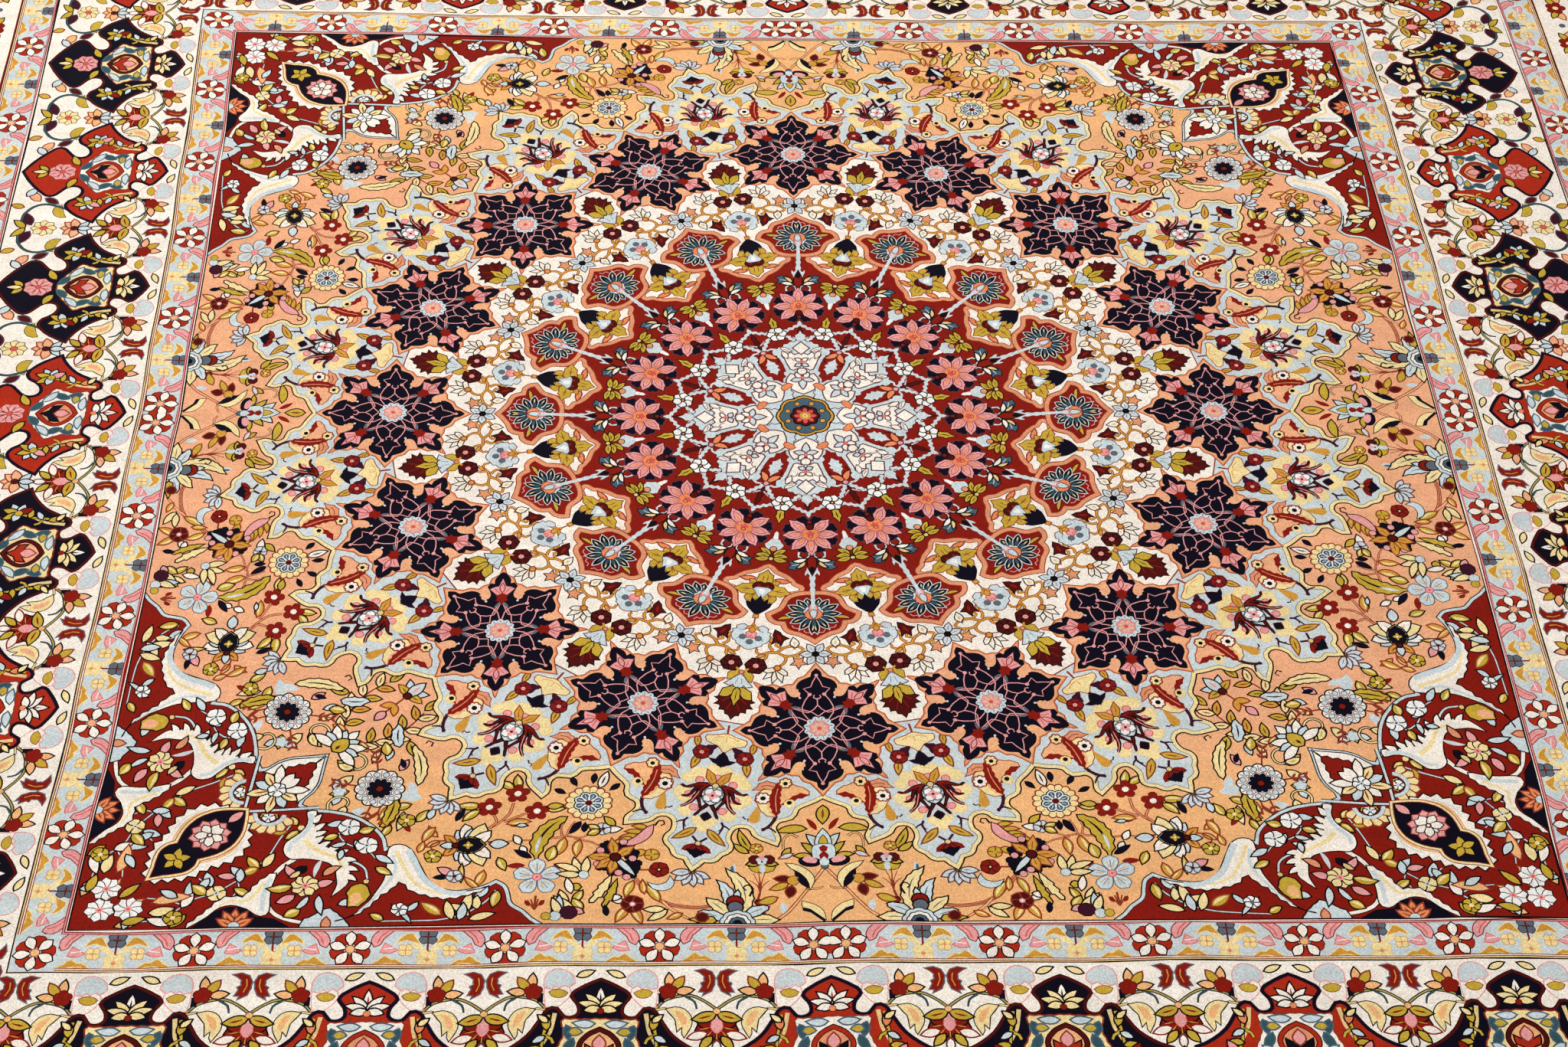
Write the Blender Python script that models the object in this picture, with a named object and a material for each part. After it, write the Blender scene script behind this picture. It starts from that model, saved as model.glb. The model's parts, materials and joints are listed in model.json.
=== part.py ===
"""A square hand-knotted silk rug, lying flat: one slab of foundation and pile, with soft worn edges.

Metres, +Z up. The origin is on the floor, under the middle of the rug. X runs along the weft and Y along the warp.
"""

import math

import bmesh
import bpy

# The radius of the ring of stars drives the whole layout; everything else is in these radii.
STAR_RING = 0.430
FIELD_HALF = 1.535
GUARD = 0.105
MAIN_BORDER = 0.405
OUTER_STRIPE = 0.115
EDGE_BAND = 0.040
# A hand loom never weaves quite square: this rug is wider than it is long.
WIDER = 0.014
SHORTER = 0.013

HALF_SQUARE = FIELD_HALF + 2 * GUARD + MAIN_BORDER + OUTER_STRIPE + EDGE_BAND
HALF_WIDTH = (HALF_SQUARE + WIDER) * STAR_RING
HALF_LENGTH = (HALF_SQUARE - SHORTER) * STAR_RING

THICKNESS = 0.0050
SWELL = 0.0003
SWELL_ACROSS = 0.90
SWELL_ALONG = 0.74
EDGE_WANDER = 0.0015
WANDER_LENGTH = 0.62
CELLS = 28

# The edge from the floor up: how far each ring is drawn in, and its height.
EDGE_RINGS = (
    # inset, height
    (0.0012, 0.0000),
    (0.0000, 0.0014),
    (0.0002, 0.0032),
    (0.0016, 0.0045),
)
TOP_INSET = 0.0040

SILK_IVORY = (0.79, 0.70, 0.56, 1.0)
PILE_ROUGHNESS = 0.55


def silk():
    """Knotted silk, seen from far enough away to be one colour."""
    material = bpy.data.materials.new("knotted_silk")
    material.use_nodes = True
    shader = material.node_tree.nodes["Principled BSDF"]
    shader.inputs["Base Color"].default_value = SILK_IVORY
    shader.inputs["Roughness"].default_value = PILE_ROUGHNESS
    shader.inputs["Metallic"].default_value = 0.0
    return material


def wander(along, phase):
    """How far a woven edge strays from straight, at a place along it."""
    return EDGE_WANDER * math.sin(2 * math.pi * along / WANDER_LENGTH + phase)


def swell(x, y):
    """The slight rise and fall of the pile where the rug lies."""
    return SWELL * math.sin(2 * math.pi * x / SWELL_ACROSS) * math.cos(2 * math.pi * y / SWELL_ALONG)


def place(u, v, inset):
    """A point of the rug's plan, from shares of its half width and half length."""
    x = u * (HALF_WIDTH - inset + wander(v * HALF_LENGTH, u))
    y = v * (HALF_LENGTH - inset + wander(u * HALF_WIDTH, 1.0 + v))
    return x, y


def rim_shares():
    """The shares of the cells' corners round the rim, anticlockwise from the near left corner."""
    steps = [-1 + 2 * k / CELLS for k in range(CELLS)]
    near = [(s, -1.0) for s in steps]
    right = [(1.0, s) for s in steps]
    far = [(-s, 1.0) for s in steps]
    left = [(-1.0, -s) for s in steps]
    return near + right + far + left


def band(mesh, lower, upper):
    """Faces between two rings of as many points."""
    count = len(lower)
    for k in range(count):
        following = (k + 1) % count
        mesh.faces.new((lower[k], lower[following], upper[following], upper[k]))


def rug():
    """The one solid: a flat underside, a soft edge, and a pile that swells a little."""
    mesh = bmesh.new()
    shares = rim_shares()
    rings = []
    for inset, height in EDGE_RINGS:
        rings.append([mesh.verts.new((*place(u, v, inset), height)) for u, v in shares])
    top = {}
    for i in range(CELLS + 1):
        for j in range(CELLS + 1):
            x, y = place(-1 + 2 * i / CELLS, -1 + 2 * j / CELLS, TOP_INSET)
            top[i, j] = mesh.verts.new((x, y, THICKNESS + swell(x, y)))
    near = [top[k, 0] for k in range(CELLS)]
    right = [top[CELLS, k] for k in range(CELLS)]
    far = [top[CELLS - k, CELLS] for k in range(CELLS)]
    left = [top[0, CELLS - k] for k in range(CELLS)]
    rings.append(near + right + far + left)
    for lower, upper in zip(rings, rings[1:]):
        band(mesh, lower, upper)
    for i in range(CELLS):
        for j in range(CELLS):
            mesh.faces.new((top[i, j], top[i + 1, j], top[i + 1, j + 1], top[i, j + 1]))
    mesh.faces.new(list(reversed(rings[0])))
    bmesh.ops.triangulate(mesh, faces=mesh.faces[:])
    bmesh.ops.recalc_face_normals(mesh, faces=mesh.faces[:])
    data = bpy.data.meshes.new("rug")
    mesh.to_mesh(data)
    mesh.free()
    data.materials.append(silk())
    made = bpy.data.objects.new("rug", data)
    bpy.context.scene.collection.objects.link(made)
    return made


def main():
    for old in list(bpy.data.objects):
        bpy.data.objects.remove(old)
    made = rug()
    print(f"{made.name}: {2 * HALF_WIDTH:.3f} m wide, {2 * HALF_LENGTH:.3f} m long, {THICKNESS * 1000:.1f} mm thick")


main()
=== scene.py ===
# %% [markdown]
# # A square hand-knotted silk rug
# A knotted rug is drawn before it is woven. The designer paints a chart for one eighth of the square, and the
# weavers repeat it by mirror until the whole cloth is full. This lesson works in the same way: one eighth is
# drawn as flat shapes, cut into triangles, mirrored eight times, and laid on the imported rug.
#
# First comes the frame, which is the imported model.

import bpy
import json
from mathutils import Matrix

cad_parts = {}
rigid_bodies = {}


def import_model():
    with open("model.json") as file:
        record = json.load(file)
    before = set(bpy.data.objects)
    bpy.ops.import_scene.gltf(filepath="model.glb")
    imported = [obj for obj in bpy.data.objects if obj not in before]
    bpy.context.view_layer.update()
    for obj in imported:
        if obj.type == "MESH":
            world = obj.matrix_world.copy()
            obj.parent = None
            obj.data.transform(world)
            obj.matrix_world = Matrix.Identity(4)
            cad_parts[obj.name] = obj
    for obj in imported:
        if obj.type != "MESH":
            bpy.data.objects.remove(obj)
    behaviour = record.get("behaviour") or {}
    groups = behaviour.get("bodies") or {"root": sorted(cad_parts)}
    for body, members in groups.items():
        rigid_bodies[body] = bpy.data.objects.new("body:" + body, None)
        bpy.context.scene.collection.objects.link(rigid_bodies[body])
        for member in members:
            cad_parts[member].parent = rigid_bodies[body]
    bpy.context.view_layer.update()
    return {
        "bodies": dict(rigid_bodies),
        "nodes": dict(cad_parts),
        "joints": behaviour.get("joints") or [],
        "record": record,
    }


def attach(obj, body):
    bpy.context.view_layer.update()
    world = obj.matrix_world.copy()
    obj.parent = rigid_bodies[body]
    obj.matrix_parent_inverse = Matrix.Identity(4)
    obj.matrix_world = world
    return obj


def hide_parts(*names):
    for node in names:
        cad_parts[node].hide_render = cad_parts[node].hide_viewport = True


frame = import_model()

# %% Other modules
import cmath
import json
import math

import bmesh
import bpy
import numpy as np
from mathutils import Vector
from mathutils.geometry import delaunay_2d_cdt

# %% [markdown]
# ## Sizes
# Everything on the chart is measured in radii of the ring of navy stars, so one number sets the size of the
# whole design. The other sizes repeat the part's own values, because this script can't read the part's
# source.

# %% Sizes of the rug
STAR_RING = 0.430
FIELD_HALF = 1.535
GUARD_WIDTH = 0.105
MAIN_BORDER = 1.640
OUTER_GUARD = 2.045
OUTER_STRIPE = 2.150
EDGE_BAND = 2.265
PAST_EDGE = 2.33
HALF_SQUARE = 2.305
HALF_WIDTH = 0.99717
HALF_LENGTH = 0.98556
THICKNESS = 0.0050
SWELL = 0.0003
SWELL_ACROSS = 0.90
SWELL_ALONG = 0.74
EDGE_WANDER = 0.0015
WANDER_LENGTH = 0.62
TOP_INSET = 0.0040
KNOT_PITCH = 0.00104
print(f"{2 * HALF_WIDTH / KNOT_PITCH:.0f} knots across, {2 * HALF_LENGTH / KNOT_PITCH:.0f} rows along")

# %% [markdown]
# ## The camera
# The photograph looks down from beyond the near edge, about 46 degrees above the floor. The camera was fitted
# to the ring of stars and to the corners of the field, so its place is in star-ring radii too. It comes
# first, because everything else is judged through it.

# %% Camera
CAMERA_PLACE = (-0.2793, -4.7786, 4.5598)
CAMERA_TURN = (0.7683, -0.0222, -0.0268)
camera_data = bpy.data.cameras.new("camera")
camera_data.lens = 62.65
camera_data.sensor_width = 36.0
camera_data.dof.use_dof = False
camera = bpy.data.objects.new("camera", camera_data)
camera.location = Vector(CAMERA_PLACE) * STAR_RING + Vector((0, 0, THICKNESS))
camera.rotation_euler = CAMERA_TURN
bpy.context.scene.collection.objects.link(camera)
bpy.context.scene.camera = camera
print("camera at", [round(number, 3) for number in camera.location])

# %% [markdown]
# ## Dyes
# Silk takes dye brightly. The weaver's basket here holds these skeins. They are sRGB hex values, which one
# function turns to the linear values that a shader needs.

# %% Dyed silk
DYES = {
    "ivory": "#f5eadc", "salmon": "#e0946c", "brick": "#8a3420", "red": "#86180c", "madder": "#500d0b",
    "navy": "#0b0718", "black": "#0d0608", "silver": "#ccd6d8", "white": "#f3efe9", "grey": "#62666f",
    "orange": "#e88a5a", "gold": "#f0b47a", "cream": "#f2d99c", "mustard": "#c6a438", "ochre": "#d1963a",
    "pink": "#e79d9b", "rose": "#d1574f", "mauve": "#5c363e", "slate": "#48606f", "pale": "#cbd3d3",
    "teal": "#35525a", "plum": "#3c1022", "sand": "#e3c588", "scarlet": "#ac2a14", "apricot": "#eeac82",
}


def linear(code):
    """A hex colour as linear red, green and blue."""
    parts = [int(code[k:k + 2], 16) / 255 for k in (1, 3, 5)]
    return [part / 12.92 if part <= 0.04045 else ((part + 0.055) / 1.055) ** 2.4 for part in parts]


print(len(DYES), "dyes")

# %% [markdown]
# ## Drawing tools
# A shape on the chart is a closed line of points with the name of a dye. The points are complex numbers,
# because then a turn is one multiplication and a mirror image is one conjugate. The real part runs outwards
# from the middle of the rug, and the imaginary part runs sideways. One knot is about 0.0024 of the star
# ring's radius, and most outlines on the real rug are one knot wide. The usual rim here is a knot and a half.
#
# Petals, leaves, discs and curls are formulas. The larger outlines are typed points, many of them read
# from flattened views of the photograph with a grid over them. All numbers in the motifs are in radii of the
# star ring and in degrees.

# %% Turns and soft lines
RIM_WIDTH = 0.0034


def turn(degrees):
    """The complex factor that turns a point by so many degrees."""
    return cmath.exp(1j * math.radians(degrees))


def smooth(points, closed=True, step=0.008):
    """A soft line through the points; a point given twice is a sharp corner."""
    pts = [complex(p) for p in points]
    count = len(pts)
    out = []
    for k in range(count if closed else count - 1):
        a, b = pts[k], pts[(k + 1) % count]
        if a == b:
            continue
        before = pts[k - 1] if closed or k else a
        after = pts[(k + 2) % count] if closed or k + 2 < count else b
        lean_a, lean_b = (b - before) / 2, (after - a) / 2
        pieces = max(1, min(6, round(abs(b - a) / step)))
        for n in range(pieces):
            t = n / pieces
            out.append((2 * t**3 - 3 * t**2 + 1) * a + (t**3 - 2 * t**2 + t) * lean_a
                       + (3 * t**2 - 2 * t**3) * b + (t**3 - t**2) * lean_b)
    if not closed:
        out.append(pts[-1])
    return np.array(out)


def halves(points):
    """A closed outline with both sides alike, from the side above the axis."""
    pts = [complex(p) for p in points]
    return smooth(pts + [p.conjugate() for p in reversed(pts)])


def anticlockwise(outline):
    """The outline as an array that runs anticlockwise, without doubled points."""
    z = np.asarray(outline, complex)
    z = z[np.abs(z - np.roll(z, 1)) > 1e-7]
    area = np.sum(z.real * np.roll(z.imag, -1) - z.imag * np.roll(z.real, -1))
    return z if area > 0 else z[::-1]


def grow(outline, width):
    """The outline moved outwards by a width, its corners kept sharp."""
    z = anticlockwise(outline)
    ahead = np.roll(z, -1) - z
    ahead /= np.abs(ahead)
    behind = np.roll(ahead, 1)
    middle = ahead + behind
    size = np.abs(middle)
    middle = np.where(size > 0.05, middle / np.maximum(size, 1e-9), ahead)
    reach = np.minimum(1 / np.maximum((middle * np.conj(ahead)).real, 0.35), 2.4)
    return z - 1j * middle * width * reach


print("a soft line through four points has", len(smooth([0, 1, 1 + 1j, 1j])), "points")


# %% Outlines of leaves and discs
def petal(length, width, belly=0.5, blunt=0.8, n=6, start=0.0):
    """A leaf outline along the axis: widest at the belly, blunter for a smaller power."""
    t = np.linspace(0, 1, n + 1)
    half = width * np.sin(np.pi * t ** (math.log(0.5) / math.log(belly))) ** blunt
    side = start + t * length + 1j * half
    return np.concatenate([side[:-1], np.conj(side[:0:-1])])


def toothed(length, width, teeth, depth, belly):
    """The outline of a saw-edged leaf along the axis."""
    t = np.linspace(0, 1, 2 * teeth + 1)
    half = width * np.sin(np.pi * t ** (math.log(0.5) / math.log(belly))) ** 0.8
    half[2::2] *= 1 - depth
    t[1::2] += 0.3 / teeth
    t = np.minimum(t, 1)
    side = t * length + 1j * half
    return np.concatenate([side[:-1], np.conj(side[:0:-1])])


def bent(outline, length, degrees):
    """The outline with its axis bent to an arc that turns by so many degrees."""
    z = np.asarray(outline, complex)
    bend = math.radians(degrees)
    way = np.exp(1j * bend * z.real / length)
    return (way - 1) / (1j * bend) * length + 1j * z.imag * way


def ragged(outline, tooth, pitch=0.007, plain=0.0):
    """The outline with a saw edge, except on its first part: every second point stands out."""
    z = np.append(outline, outline[0])
    along = np.concatenate([[0], np.cumsum(np.abs(np.diff(z)))])
    count = 2 * max(2, round(along[-1] / pitch / 2))
    even = np.linspace(0, along[-1], count, endpoint=False)
    first = np.interp(even, along, z.real) + 1j * np.interp(even, along, z.imag)
    z = anticlockwise(first)
    sawn = even > plain * along[-1]
    if z[0] != first[0]:
        sawn = sawn[::-1]
    return np.where(sawn & (np.arange(count) % 2 == 0), grow(z, tooth), z)


def banded(outline, width, dye, inside, rim):
    """A shape with an even band of one dye along its edge, and another dye inside."""
    return edged(outline, dye, rim, 0.0022) + fill(grow(outline, -width), rim) + fill(
        grow(outline, -width - 0.0020), inside)


def disc(radius, at=0, n=8):
    """A round outline."""
    return at + radius * np.exp(2j * np.pi * (np.arange(n) + 0.5) / n)


def lobed(radius, lobes, depth=0.15, per=4, phase=0.0):
    """A rosette outline with round lobes and sharp notches."""
    t = np.arange(lobes * per) / (lobes * per)
    swell = np.abs(np.sin(np.pi * lobes * t))
    return radius * (1 - depth + depth * swell) * np.exp(2j * np.pi * (t + phase / 360))


def line(points, width, taper=1.0, step=0.008, soft=True):
    """A stem along the points, thinner towards its end by the taper."""
    z = smooth(points, False, step) if soft else np.array(points, complex)
    ahead = np.empty(len(z), complex)
    ahead[1:-1] = z[2:] - z[:-2]
    ahead[0], ahead[-1] = z[1] - z[0], z[-1] - z[-2]
    ahead /= np.abs(ahead)
    half = width / 2 * np.linspace(1, taper, len(z))
    return np.concatenate([z - 1j * ahead * half, (z + 1j * ahead * half)[::-1]])


print("a saw-edged petal has", len(ragged(petal(0.05, 0.01), 0.002)), "points")


# %% Put shapes in their place
def placed(shapes, at=0, facing=0.0, flip=False):
    """The shapes of a motif, drawn along the axis, put in their place on the rug."""
    way = turn(facing)
    return [((np.conj(z) if flip else z) * way + at, dye) for z, dye in shapes]


def both(shapes):
    """The shapes and their mirror images across the axis."""
    return list(shapes) + [(np.conj(z), dye) for z, dye in shapes]


def edged(outline, dye, rim="black", width=RIM_WIDTH):
    """A shape of one dye that lies on its rim."""
    return [(grow(outline, width), rim), (np.asarray(outline, complex), dye)]


def fill(outline, dye):
    """A shape of one dye without a rim."""
    return [(np.asarray(outline, complex), dye)]


def around(shapes, count, first=0.0):
    """Copies turned about the origin."""
    out = []
    for k in range(count):
        out += placed(shapes, facing=first + 360 * k / count)
    return out


print("eight petals round a point:", len(around(fill(petal(0.05, 0.01), "ivory"), 8)), "shapes")


# %% Leaves and open flowers
def leaf(length, width, dye, rim=None, bend=0.0, at=0, facing=0.0, belly=0.45, blunt=0.8, vein=None,
         lit=None):
    """A leaf or petal with its rim and, if named, a vein or a lit side in another dye."""
    shape = petal(length, width, belly, blunt, n=6 if length > 0.02 else 4)
    mid = petal(length * 0.62, max(width * 0.22, 0.0008), 0.5, 0.5, n=3, start=length * 0.16)
    side = np.append(petal(length * 0.82, width * 0.74, belly, blunt, n=4, start=length * 0.09)[:5],
                     length / 2)
    if bend:
        shape, mid, side = bent(shape, length, bend), bent(mid, length, bend), bent(side, length, bend)
    out = edged(shape, dye, rim) if rim else fill(shape, dye)
    if lit:
        out += fill(side, lit)
    if vein:
        out += fill(mid, vein)
    return placed(out, at, facing)


def saw(length, width, dye, rim=None, teeth=4, bend=0.0, at=0, facing=0.0, depth=0.35):
    """A saw-edged leaf with its rim."""
    shape = toothed(length, width, teeth, depth, belly=0.45)
    if bend:
        shape = bent(shape, length, bend)
    return placed(edged(shape, dye, rim) if rim else fill(shape, dye), at, facing)


def blossom(petals, radius, dye, rim, heart, core=None, at=0, facing=0.0, share=0.9, blunt=0.55, belly=0.6):
    """An open flower: its petals, and a heart in the middle."""
    width = radius * math.sin(math.pi / petals) * share
    one = petal(radius * 0.86, width, belly, blunt, n=4, start=radius * 0.14)
    out = around(edged(one, dye, rim, RIM_WIDTH * 0.8) if rim else fill(one, dye), petals)
    out += fill(disc(radius * 0.3, n=6), heart)
    if core:
        out += fill(disc(radius * 0.14, n=5), core)
    return placed(out, at, facing)


print("a flower of five petals:", len(blossom(5, 0.02, "white", "black", "gold")), "shapes")


# %% [markdown]
# ## The medallion
# A medallion is built in rings round one small rosette. Eight pale petals stand round it on red, then flowers
# over dark lobes, then a ring of yellow and of red palmettes, and last an ivory ring that ends in sixteen
# navy stars. Each motif is drawn once, on the axis, and its side is mirrored. Drawing it from its own
# numbers, and not from a picture, keeps every edge sharp at any distance.

# %% Rosette and pale petals
def rosette():
    """The blue rosette in the middle, with a gold rim and a red heart."""
    out = edged(lobed(.069, 8, .10, phase=22.5), "ochre", "black")
    out += edged(lobed(.061, 8, .10, phase=22.5), "slate", "black", .0024)
    out += around(edged(disc(.0060, .045), "ochre", "black", .0018), 8, 22.5)
    out += edged(lobed(.034, 8, .16, phase=22.5), "madder", "black", .0036)
    out += around(fill(petal(.018, .0058, n=4, start=.010), "rose"), 8)
    out += around(fill(petal(.013, .0048, n=4, start=.002), "ochre"), 8, 22.5)
    out += fill(disc(.0070), "sand") + fill(disc(.0030, n=5), "rose")
    return out


def pale_petal():
    """One of eight pale petals: a pod, a ring, a palmette and a lozenge, on a saw-edged silver ground."""
    body = halves([.064, .066+.024j, .090+.044j, .112+.050j, .124+.050j, .124+.050j, .150+.044j, .164+.046j,
                   .182+.052j, .198+.050j, .214+.058j, .228+.072j, .228+.072j, .236+.062j, .246+.046j,
                   .256+.036j, .262+.022j, .266+.010j, .266, .266])
    out = edged(ragged(body, .0050, .0085), "silver", "madder", .0022)
    out += both(fill(line([.236+.060j, .240+.075j, .234+.085j], .0075, .6), "silver"))
    pod = halves([.078, .086+.016j, .098+.030j, .112+.0385j, .128+.038j, .138+.034j, .148+.028j, .148+.028j,
                  .142+.014j, .141+.004j, .141])
    out += edged(pod, "ivory", "mauve")
    out += leaf(.034, .0082, "silver", "mauve", at=.130, facing=180, belly=.4)
    out += both(leaf(.026, .0068, "silver", "mauve", at=.133+.002j, facing=118, bend=-20))
    out += both(leaf(.020, .0060, "ivory", "mauve", at=.136+.004j, facing=50, bend=-30))
    out += fill(disc(.0062, .1345, 6), "rose") + fill(disc(.0030, .1345, 5), "orange")
    out += edged(disc(.0105, .158, 12), "ivory", "mauve")
    palm = halves([.170+.010j, .164+.020j, .166+.027j, .166+.027j, .176+.031j, .190+.036j, .204+.040j,
                   .216+.047j, .226+.044j, .226+.044j, .218+.034j, .226+.026j, .226+.026j, .216+.016j,
                   .222+.006j, .218, .218])
    out += edged(palm, "ivory", "mauve")
    out += edged(np.array([.169, .177+.007j, .185, .177-.007j]), "silver", "mauve", .0022)
    out += both(leaf(.015, .0055, "silver", "mauve", at=.184+.002j, facing=118))
    out += both(leaf(.015, .0048, "ivory", "mauve", at=.196+.002j, facing=58))
    out += fill(disc(.0056, .193, 6), "rose") + fill(disc(.0028, .193, 5), "orange")
    out += both(fill(line([.196+.019j, .204+.022j, .208+.030j, .202+.034j], .0024), "mauve"))
    out += both(edged(bent(petal(.026, .0062), .026, 30) * turn(12) + (.206+.036j), "ivory", "mauve", .0024))
    out += both(edged(bent(petal(.030, .0055), .030, -30) * turn(78) + (.232+.024j), "ivory", "mauve", .0024))
    out += both(fill(line([.234+.030j, .238+.044j], .0018), "mauve"))
    out += edged(np.array([.221, .242+.019j, .263, .242-.019j]), "ivory", "mauve")
    out += fill(ragged(halves([.268, .268, .280+.012j, .288+.010j, .302, .302]), .0030, .008), "silver")
    return out


def pale_gap():
    """What stands on the red between two pale petals."""
    bud = halves([.126, .126, .140+.008j, .144+.018j, .144+.018j, .158+.016j, .162+.025j, .162+.025j,
                  .184+.028j, .204+.028j, .222+.022j, .240+.012j, .250, .250])
    out = fill(bud, "red")
    spear = halves([.158, .158, .170+.008j, .172+.014j, .172+.014j, .182+.010j, .186+.017j, .186+.017j,
                    .196+.010j, .200+.013j, .200+.013j, .210+.004j, .220, .220])
    out += fill(spear, "silver")
    out += both(fill(line([.196+.020j, .214+.024j, .234+.014j], .0050, .4), "madder"))
    out += both(leaf(.036, .0070, "orange", "madder", at=.240+.002j, facing=156, bend=-30))
    out += edged(disc(.0060, .245, 7), "pink", "mauve")
    return out


def bean():
    """A small bent leaf between two pale petals."""
    shape = bent(petal(.032, .0085, .5, .45), .032, 60)
    return placed(edged(shape, "orange", "brick", .0022), .112-.018j, 78)


print("rosette and petals:", len(rosette() + pale_petal() + pale_gap()), "shapes")


# %% Vines and flowers on the red
def vine_ring():
    """The saw-edged silver vine on the star axes, with a dark spindle inside it."""
    out = edged(ragged(petal(.066, .0046) + .256, .0022, .010), "madder", "black", .0018)
    arm = [.250, .262+.012j, .276+.022j, .288+.036j, .298+.047j]
    out += both(fill(ragged(line(arm, .0058, .8), .0042, .0075), "silver"))
    vee = [.300+.047j, .309+.032j, .318+.016j, .332, .332]
    out += both(fill(ragged(line(vee, .0050, .8), .0042, .0075), "silver"))
    out += both(fill(line([.272+.004j, .284+.020j], .0036, .4), "silver"))
    out += fill(halves([.322, .322, .334+.006j, .344, .344]), "silver")
    return out


def white_flower(at):
    """A white flower with six petals."""
    return blossom(6, .0250, "white", "black", "black", "salmon", at=at, facing=30, share=.78, blunt=.4)


def between_inner():
    """A white flower and its leaf, between the star axes."""
    out = edged(ragged(petal(.038, .0080, .45), .0028, .009) + .322, "mustard", "black", .0024)
    out += fill(petal(.026, .0016, n=3, start=.328), "black")
    return out + white_flower(.300)


def pink_flower():
    """A seven-petalled flower over dark lobes, on each star axis."""
    c = .398
    out = fill(lobed(.046, 14, .10) + c - .004, "madder")
    for angle, reach, size in ((22, .047, .0165), (67, .050, .0165), (113, .050, .0180), (160, .046, .0165)):
        lobe = lobed(size, 5, .24) * turn(angle)
        out += both(edged(lobe + c + reach * turn(angle), "navy", "mauve", .0022))
    for angle in (45, 90, 137):
        out += both(fill(disc(.0058, c + .061 * turn(angle), 5), "teal"))
    out += both(fill(disc(.0062, c + .030 * turn(67), 6) ,
                     "teal") + fill(disc(.0062, c + .032 * turn(113), 6), "slate"))
    for angle, reach in ((0, .064), (44, .062), (90, .060), (136, .062)):
        start = c + .014 * turn(angle)
        one = edged(ragged(petal(reach - .012, .0128, .45, .8, n=9), .0020, .0080), "pink", "plum", .0022)
        one = placed(one, start, angle)
        one += placed(edged(petal(reach - .026, .0070, .45), "pink", "red", .0014), c + .019 * turn(angle),
                      angle)
        one += leaf(reach - .038, .0036, "orange", None, at=c + .020 * turn(angle), facing=angle)
        out += one if angle == 0 else both(one)
    out += edged(lobed(.0200, 7, .20) + c, "orange", "rose", .0020)
    out += fill(lobed(.0110, 5, .4) + c - .001, "rose") + edged(disc(.0040, c + .006, 5), "orange", "brick",
                                                                .0018)
    out += edged(disc(.0085, c - .024, 8), "madder", "black", .0024)
    out += edged(disc(.0052, c - .040, 6), "red", "black", .0020)
    return out


def star_stem():
    """Hearts, slate leaves and the stem that lead to a red palmette."""
    curl = [.450+.026j, .458+.030j, .470+.030j, .476+.020j, .470+.008j, .460+.006j]
    out = both(fill(line(curl, .0052, .7), "silver"))
    out += both(edged(disc(.0092, .464+.018j, 7), "red", "black", .0020))
    slate = smooth([.484+.018j, .484+.018j, .482+.036j, .486+.052j, .486+.052j, .496+.048j, .506+.056j,
                    .506+.056j, .512+.042j, .510+.030j, .500+.020j])
    out += both(edged(slate, "slate", "black", .0022))
    out += both(fill(line([.492+.024j, .496+.034j, .498+.046j], .0030, .5), "silver"))
    out += both(leaf(.030, .0050, "ivory", "black", at=.478+.014j, facing=58, bend=40))
    out += both(leaf(.026, .0042, "sand", "black", at=.488+.016j, facing=30, bend=30))
    stem = halves([.500, .508+.012j, .512+.014j, .526+.007j, .545+.0045j, .575+.0042j, .618+.0040j, .618])
    out += fill(ragged(stem, .0026, .010), "silver")
    out += both(leaf(.022, .0035, "silver", None, at=.512+.008j, facing=32, bend=-20))
    out += edged(petal(.062, .0100, .38, .8, start=.468), "red", "black", .0026)
    out += fill(petal(.026, .0062, .35, .8, start=.502), "black")
    return out


def bud_spray():
    """A white bud over mustard leaves, between the star axes."""
    out = fill(ragged(petal(.036, .0052, start=.392), .0014, .008), "white")
    cup = halves([.416, .424+.012j, .436+.019j, .446+.018j, .452+.010j, .452])
    out += fill(ragged(cup, .0030, .009), "silver")
    for at, facing, bend in ((.470+.004j, 138, -20), (.474+.005j, 104, -25), (.480+.005j, 66, 30)):
        one = bent(petal(.033, .0068, .45), .033, bend)
        out += both(placed(edged(one, "mustard", "black", .0026), at, facing))
        out += both(placed(fill(bent(petal(.018, .0012, n=3, start=.006), .033, bend), "black"), at, facing))
    out += edged(disc(.0075, .450, 8), "salmon", "black", .0020)
    out += edged(disc(.0052, .482, 6), "sand", "black", .0024)
    return out


print("a sixteenth of the red ring:", len(vine_ring() + pink_flower() + star_stem()), "shapes")


# %% [markdown]
# ## Palmettes
# A palmette is a flower cut open along its stem. Sixteen yellow ones with a navy foot alternate with sixteen
# red ones, and each carries a band of salmon along its edge. The band is the outline again, drawn a few knots
# smaller.

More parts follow.
